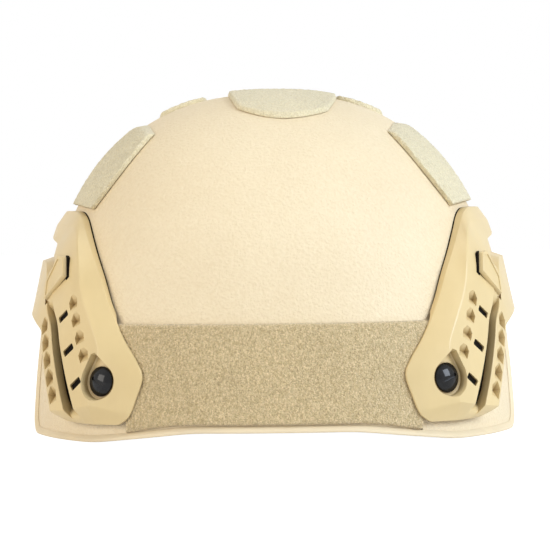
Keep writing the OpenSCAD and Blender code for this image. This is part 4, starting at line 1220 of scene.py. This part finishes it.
# Straps. The legs lie in a tilted plane through the hangers' bars, the chin straps above its inner end.
strapSize = {
    "thick": 0.86, "width": 18.2, "tail": 21.0, "barReach": 2.85, "dipRun": 8, "turnFrom": 4, "turnRun": 9,
    "barX": 76.0, "barZ": 17.0, "tilt": 12.061, "depth": 64.0, "frontLoop": 70.0, "rearLoop": 76.0,
    "legStart": -2.98, "legEnd": (-44.0, 11.0), "legPast": 3.6, "gather": 0.14, "gatherRun": 12,
    "chinWidth": 23.6, "chinLength": 35.6,
    "chinHeight": 2.5 + 0.3 + 1.8 + 0.4 + 1.6,  # half the junction, room, webbing, room, half the bar
    "legBox": (10.5, 19.5, 6.6), "chinBox": (11, 19.5, 9.0),  # where the box stitch starts, ends, half width
}
up = np.array([0, 0, 1.0])


def loopedPath(start, direction, length, ahead):
    # from the far end back to the bar, round it, and back under as a sewn tail
    q = strapSize
    layer, bar = q["thick"] / 2 + 0.01, q["barReach"]
    barSide, legSide = np.array([0, 1.0, 0]), np.cross(up, direction)
    if legSide @ barSide < 0:
        legSide = -legSide
    path, normals, sides = [], [], []

    def add(point, normal, blend):
        side = unit(barSide * (1 - blend) + legSide * blend)
        path.append(point)
        normals.append(unit(normal - side * (side @ normal)))
        sides.append(side)

    def addRun(distances, face):
        for d in distances:
            rise = layer + (bar - layer) * (1 - ease(d / q["dipRun"])) ** 1.5
            turned = ease((d - q["turnFrom"]) / q["turnRun"])  # lies along the bar first, then along the leg
            add(start + direction * d + face * rise, face, turned)
    addRun(np.concatenate([np.linspace(length, 9, 24), np.linspace(8, 2, 8)]), up)
    barAt = start * (1, 1, 0) - ahead * (start @ ahead)
    for a in np.linspace(90, -90, 19)[1:-1]:
        c, s = math.cos(math.radians(a)), math.sin(math.radians(a))
        add(barAt + ahead * -c * bar + up * s * bar, ahead * -c + up * s, 0.0)
    addRun(np.concatenate([np.linspace(2, 8, 8), np.linspace(9, q["tail"], 9)]), -up)
    return np.array(path), np.array(normals), np.array(sides)


def boxStitch(start, direction, near, far, half, height, matrix):
    side = np.cross(up, direction)
    corner = {(i, j): start + direction * d + side * w + up * height
              for i, d in enumerate((near, far)) for j, w in enumerate((-half, half))}
    pairs = [((0, 0), (1, 0)), ((1, 0), (1, 1)), ((1, 1), (0, 1)), ((0, 1), (0, 0)),
             ((0, 0), (1, 1)), ((1, 0), (0, 1))]
    normal = np.tile(matrix[:3, :3] @ (up * np.sign(height)), (5, 1))
    return [(moved(np.linspace(corner[a], corner[b], 5), matrix), normal) for a, b in pairs]


def makeStrap(node, matrix, start, direction, length, ahead, width, box, gather=0.0):
    q, spin = strapSize, matrix[:3, :3]
    path, normals, sides = loopedPath(start, direction, length, ahead)
    fromBar = np.linalg.norm(path[:, :2] - start[:2], axis=1)
    narrow = 1 - gather * (1 - np.array([ease(d / q["gatherRun"]) for d in fromBar]))
    strap = stripPiece(node + "_webbing", moved(path, matrix), normals @ spin.T, sides @ spin.T, width,
                       q["thick"], narrow)
    lines = []
    for height in (q["thick"] + 0.02, -q["thick"] - 0.02):
        lines += boxStitch(start, direction, *box, height, matrix)
    sewn = stitches(node + "_stitches", lines)
    fitPair(strap, webbing, node, slot="webbing", sharp=50)
    fitPair(sewn, thread, node, slot="webbing", sharp=50)


def makeStraps():
    q, inward = strapSize, np.array([1.0, 0, 0])
    legPlane = shift(q["barX"], 0, q["barZ"]) @ turn(-q["tilt"], "y")
    for label, loopY in (("front", q["frontLoop"]), ("rear", -q["rearLoop"])):
        start = np.array([q["legStart"], loopY, 0.0])
        stop = np.array([q["legEnd"][0], math.copysign(q["legEnd"][1], loopY), 0.0])
        length = float(np.linalg.norm(stop - start)) + q["legPast"]
        makeStrap("strap_%s_right" % label, legPlane, start, unit(stop - start), length, -inward,
                  q["width"], q["legBox"], q["gather"])
    chinPlane = legPlane @ shift(-q["depth"], 0, q["chinHeight"])
    makeStrap("chin_strap_right", chinPlane, np.zeros(3), inward, q["chinLength"], inward,
              q["chinWidth"], q["chinBox"])


makeStraps()
print("straps made")

# Nape band inside the rear of the shell, held by the rear bolts
bandSize = {"height": 31.0, "wide": 21.6, "thick": 1.6, "middle": 0.9, "past": 9.6, "steps": 120,
            "seamOut": 8.8, "seamLift": 0.82, "seamStop": 8}


def makeNapeBand():
    n, s = bandSize, shellSize
    off = -s["wall"] - s["innerSeat"] - n["middle"]
    reach = midAround - rearBolt[0] + n["past"]
    around = np.linspace(midAround - reach, midAround + reach, n["steps"])
    path = skin(around, n["height"], off)
    sides = skin(around, n["height"] + 1, off) - path
    sides /= np.linalg.norm(sides, axis=1)[:, None]
    normals = np.cross(np.gradient(path, axis=0), sides)
    normals /= np.linalg.norm(normals, axis=1)[:, None]
    if normals[n["steps"] // 2] @ np.array([0, -1.0, 0]) < 0:
        normals = -normals
    band = stripPiece("nape_band_webbing", path, normals, sides, n["wide"], n["thick"])
    hole = boreThrough(rearBolt, boreSize["bolt"])
    carve(band, [hole, mirroredPiece(hole, "hole")], sharp=50)
    fit(band, webbing, "nape_band", slot="webbing")
    seam = slice(n["seamStop"], -n["seamStop"])
    lines = [(path[seam] + sides[seam] * row - normals[seam] * n["seamLift"], -normals[seam])
             for row in (-n["seamOut"], n["seamOut"])]
    fit(stitches("nape_band_stitches", lines), thread, "nape_band", slot="webbing")


makeNapeBand()
print("nape band made")

# Pads: foam in a knit cover, swelled by cloth pressure, piped round the border and sewn across
padSwell = {"plan": 0.95, "depth": 0.88, "grid": 0.6, "voxel": 4.6, "quality": 6, "pressure": 4.0,
            "frames": 20, "cap": 6.0, "stand": 0.8, "channelDeep": 2.4, "channelWide": 2.6, "piping": 1.05,
            "pipingPitch": 2.4, "pipingAt": 0.19, "ringPower": 2.6}
padBack = -shellSize["wall"] - shellSize["innerSeat"] - 1.8
padShapes = {
    "crown_pad": {"surface": topSkin, "centre": padSeats["crown"], "half": (50.5, 58.5), "roundness": 0.95,
                  "ring": 0.56},
    "front_pad": {"centre": padSeats["front"], "half": (62.0, 24.0), "lines": (-0.34, 0.34)},
    "rear_pad": {"centre": padSeats["rear"], "half": (50.0, 24.0), "lines": (-0.34, 0.34)},
    "side_pad_front_right": {"centre": padSeats["frontSide"], "half": (36.0, 20.0), "slant": 0.1,
                             "lines": (0.0,)},
    "side_pad_rear_right": {"centre": padSeats["rearSide"], "half": (36.0, 20.0), "slant": -0.1,
                            "lines": (0.0,)},
    "nape_pad": {"centre": (midAround, 31.0), "half": (40.0, 15.0), "roundness": 0.7, "back": padBack - 0.3,
                 "thick": 15.0, "lines": (-0.36, 0.36)},
}
plainPad = {"surface": skin, "slant": 0.0, "roundness": 0.8, "back": padBack, "thick": 18.0, "lines": (),
            "ring": 0.0}
padShapes = {node: {**plainPad, **shape} for node, shape in padShapes.items()}


def padPlace(shape, u, v, draw=1.0):
    a, b = rounded(u, v, (shape["half"][0] * draw, shape["half"][1] * draw), shape["roundness"])
    return shape["centre"][0] + a, shape["centre"][1] + b + shape["slant"] * a


def padDepth(shape, u, v):
    u, v = np.clip(u, -1, 1), np.clip(v, -1, 1)
    return shape["thick"] * (0.3 + 0.7 * np.sqrt((1 - u ** 4) * (1 - v ** 4)))


def startPad(node, shape):
    p, surface = padSwell, shape["surface"]
    cols, rows = (int(half * p["grid"]) for half in shape["half"])
    u, v = np.meshgrid(np.linspace(-1, 1, cols), np.linspace(-1, 1, rows))
    back = surface(*padPlace(shape, u, v, p["plan"]), shape["back"])
    deep = padDepth(shape, u, v) * p["depth"]
    face = surface(*padPlace(shape, u, v, p["plan"] * 0.95), shape["back"] - deep)
    pad = slabPiece(node + "_cover", back, face, 70)
    remesh = pad.modifiers.new("remesh", "REMESH")
    remesh.mode = "VOXEL"
    remesh.voxel_size = p["voxel"] * mm
    return bakeModifiers(pad)


def padPoints(pad):
    points = np.empty(len(pad.data.vertices) * 3)
    pad.data.vertices.foreach_get("co", points)
    return points.reshape(-1, 3) / mm


def setPadPoints(pad, points):
    pad.data.vertices.foreach_set("co", (points * mm).ravel())
    pad.data.update()


def padInverse(shape, points):  # where on the pad each point is, and how deep below its back
    if shape["surface"] is topSkin:
        a, b = points[:, 0], points[:, 1]
        depth = topSkin(a, b, shape["back"])[:, 2] - points[:, 2]
    else:
        a, b = -np.degrees(np.arctan2(points[:, 1], points[:, 0])) * shellSize["perDegree"], points[:, 2]
        depth = np.hypot(*skin(a, b, shape["back"])[:, :2].T) - np.hypot(points[:, 0], points[:, 1])
    a = a - shape["centre"][0]
    b = b - shape["centre"][1] - shape["slant"] * a
    half, roundness = shape["half"], shape["roundness"]
    u, v = a / half[0], b / half[1]
    for _ in range(6):  # closes in on the answer
        u, v = (a / (half[0] * np.sqrt(1 - roundness * np.clip(v, -1.2, 1.2) ** 2 / 2)),
                b / (half[1] * np.sqrt(1 - roundness * np.clip(u, -1.2, 1.2) ** 2 / 2)))
    return u, v, depth


def padForward(shape, u, v, depth):
    place = padPlace(shape, u, v)
    points = shape["surface"](*place, shape["back"]).copy()
    if shape["surface"] is topSkin:
        points[:, 2] -= depth
    else:
        reach = np.hypot(points[:, 0], points[:, 1])
        points[:, :2] *= ((reach - depth) / reach)[:, None]
    return points


def swellPads(pads):  # the pads swell together, their backs held on the shell
    p = padSwell
    starts = {}
    for node, pad in pads.items():
        starts[node] = padPoints(pad)
        depth = padInverse(padShapes[node], starts[node])[2]
        held = pad.vertex_groups.new(name="held")
        held.add([int(i) for i in np.flatnonzero(depth < 1.5)], 1.0, "REPLACE")
        cloth = pad.modifiers.new("swell", "CLOTH")
        cloth.settings.quality = p["quality"]
        cloth.settings.use_pressure = True
        cloth.settings.uniform_pressure_force = p["pressure"]
        cloth.settings.effector_weights.gravity = 0
        cloth.settings.vertex_group_mass = "held"
    for step in range(1, p["frames"] + 1):
        bpy.context.scene.frame_set(step)
    for node, pad in pads.items():
        bakeModifiers(pad)
        moves = padPoints(pad) - starts[node]
        far = np.linalg.norm(moves, axis=1)
        print(node, "swelled by", round(float(far.max()), 1), "mm")
        setPadPoints(pad, starts[node] + moves * np.minimum(1, p["cap"] / np.maximum(far, 1e-6))[:, None])
    bpy.context.scene.frame_set(1)


def finishPad(node, pad):  # smooth it, sew the channels and keep it in its own room
    p, shape = padSwell, padShapes[node]
    pad.modifiers.new("smooth", "SUBSURF").levels = 2
    bakeModifiers(pad)
    u, v, depth = padInverse(shape, padPoints(pad))
    u, v = np.clip(u, -0.995, 0.995), np.clip(v, -0.995, 0.995)
    fromSeam = [u - at for at in shape["lines"]]
    if shape["ring"]:
        power = p["ringPower"]
        fromSeam.append((np.abs(u) ** power + np.abs(v) ** power) ** (1 / power) - shape["ring"])
    dip = np.zeros_like(depth)
    for away in fromSeam:
        dip = np.maximum(dip, np.exp(-(away * shape["half"][0] / p["channelWide"]) ** 2))
    inside = np.clip((depth - 0.45 * shape["thick"]) / (0.3 * shape["thick"]), 0, 1)
    depth = np.clip(depth - p["channelDeep"] * dip * inside, 0, padDepth(shape, u, v) + p["stand"])
    setPadPoints(pad, padForward(shape, u, v, depth))
    shadeSmooth(pad, 70)


def padLine(pad, shape, u, v, deep, aim):  # points and normals where a line of sewing meets the cover
    tree = BVHTree.FromObject(pad, bpy.context.evaluated_depsgraph_get())
    starts = padForward(shape, u, v, np.full(len(u), deep))
    found = []
    for start, towards in zip(starts, aim(starts)):
        hit = tree.ray_cast(Vector(start * mm), Vector(unit(towards)))
        if hit[0]:
            found.append((np.array(hit[0]) / mm, np.array(hit[1])))
    return np.array([f[0] for f in found]), np.array([f[1] for f in found])


def pipingRings(border, centre):
    girth = padSwell["piping"]
    rings = []
    for place, run, out in zip(border, np.roll(border, -1, 0) - np.roll(border, 1, 0), border - centre):
        run = unit(run)
        out = unit(out - run * (out @ run))
        side = np.cross(run, out)
        rings.append([place - out * 0.25 * girth + girth * (out * c + side * s) for c, s in circleOf(12)])
    return rings


def sewPad(node, pad):
    p, shape = padSwell, padShapes[node]
    low = p["pipingAt"] * shape["thick"]
    zero = np.array([0.0])
    centre = padForward(shape, zero, zero, np.array([0.2 * shape["thick"]]))[0]
    t = np.linspace(0, 2 * math.pi, 160, endpoint=False)
    u, v = np.cos(t), np.sin(t)
    grow = 1 / np.maximum(np.abs(u), np.abs(v))  # round the border of the square
    u, v = u * grow * 1.12, v * grow * 1.12

    def inward(starts):
        return padForward(shape, u * 0.2, v * 0.2, np.full(len(u), low)) - starts
    border = resampled(padLine(pad, shape, u, v, low, inward)[0], p["pipingPitch"])
    piping = loftPiece(node + "_piping", pipingRings(border, centre), closed=True, sharp=60)

    def outward(starts):
        return padForward(shape, *padInverse(shape, starts)[:2], np.zeros(len(starts))) - starts
    seams = [(np.full(60, at), np.linspace(-0.82, 0.82, 60)) for at in shape["lines"]]
    if shape["ring"]:
        t = np.linspace(0, 2 * math.pi, 160)
        seams.append([np.sign(f(t)) * np.abs(f(t)) ** (2 / p["ringPower"]) * shape["ring"]
                      for f in (np.cos, np.sin)])
    lines = [padLine(pad, shape, *seam, 30.0, outward) for seam in seams]
    return piping, stitches(node + "_stitches", lines)


def makePads():
    pads = {node: startPad(node, shape) for node, shape in padShapes.items()}
    swellPads(pads)
    for node, pad in pads.items():
        finishPad(node, pad)
        pieces = (pad, *sewPad(node, pad))
        nodes = [(node, pieces)]
        if node.endswith("_right"):
            twins = [mirroredPiece(piece, piece.name.replace("right", "left")) for piece in pieces]
            for twin in twins:
                shadeSmooth(twin, 70)
            nodes.append((node.replace("right", "left"), twins))
        for name, (cover, cord, rows) in nodes:
            fit(cover, padCloth, name, slot="pad")
            fit(cord, seamCloth, name, slot="pad")
            fit(rows, thread, name, slot="pad")


makePads()
print("pads made")

# Stage and light
stageLook = {"floor": 0.84, "floorHalf": 6000, "glow": 1.4, "glowShare": 0.72, "world": 0.32}
lamps = {  # power, place, size, colour
    "key over the camera": (0.35, (0.15, -1.35, 1.2), 0.8, (1, 1, 1)),
    "side light from the right": (21.0, (1.2, -0.75, 0.75), 0.8, (0.8, 0.88, 1.0)),
    "fill from the left": (11.5, (-1.25, -0.8, 0.5), 0.9, (1.0, 0.94, 0.87)),
    "top light": (5.0, (0.1, 0.0, 1.6), 1.0, (1, 1, 1)),
}


def makeFloor():
    material = bpy.data.materials.new("pale floor")
    material.use_nodes = True
    tree = material.node_tree
    tree.nodes.clear()
    out = tree.nodes.new("ShaderNodeOutputMaterial")
    plain = tree.nodes.new("ShaderNodeBsdfDiffuse")
    plain.inputs["Color"].default_value = (stageLook["floor"],) * 3 + (1,)
    glow = tree.nodes.new("ShaderNodeEmission")
    glow.inputs["Color"].default_value = (1, 1, 1, 1)
    glow.inputs["Strength"].default_value = stageLook["glow"]
    mixer = tree.nodes.new("ShaderNodeMixShader")
    rays = tree.nodes.new("ShaderNodeLightPath")
    seen = blendValues(tree, rays.outputs["Is Camera Ray"], rays.outputs["Is Glossy Ray"], "MAXIMUM")
    tree.links.new(blendValues(tree, seen, stageLook["glowShare"]), mixer.inputs["Fac"])
    tree.links.new(plain.outputs[0], mixer.inputs[1])
    tree.links.new(glow.outputs[0], mixer.inputs[2])
    tree.links.new(mixer.outputs[0], out.inputs["Surface"])
    h = stageLook["floorHalf"]
    corners = [(-h, -h, -0.2), (h, -h, -0.2), (h, h, -0.2), (-h, h, -0.2)]
    floor = meshPiece("floor", corners, [(0, 1, 2, 3)])
    floor.data.materials.append(material)


def makeWorld():  # white to the camera and in reflections, dimmer as light
    world = bpy.data.worlds.new("studio")
    bpy.context.scene.world = world
    world.use_nodes = True
    tree = world.node_tree
    back = tree.nodes["Background"]
    rays = tree.nodes.new("ShaderNodeLightPath")
    seen = blendValues(tree, rays.outputs["Is Camera Ray"], rays.outputs["Is Transmission Ray"], "MAXIMUM")
    seen = blendValues(tree, seen, rays.outputs["Is Glossy Ray"], "MAXIMUM")
    strength = blendValues(tree, blendValues(tree, seen, 1 - stageLook["world"]), stageLook["world"], "ADD")
    back.inputs["Color"].default_value = (1, 1, 1, 1)
    tree.links.new(strength, back.inputs["Strength"])


def makeLamp(name, power, place, size, colour):
    data = bpy.data.lights.new(name, "AREA")
    data.energy = power
    data.size = size
    data.color = colour
    lamp = bpy.data.objects.new(name, data)
    lamp.location = place
    lamp.rotation_euler = (Vector((0, 0, 0.08)) - Vector(place)).to_track_quat("-Z", "Y").to_euler()
    bpy.context.scene.collection.objects.link(lamp)


makeFloor()
makeWorld()
for name, lamp in lamps.items():
    makeLamp(name, *lamp)
bpy.context.scene.view_settings.view_transform = "Standard"
print("stage and light made")
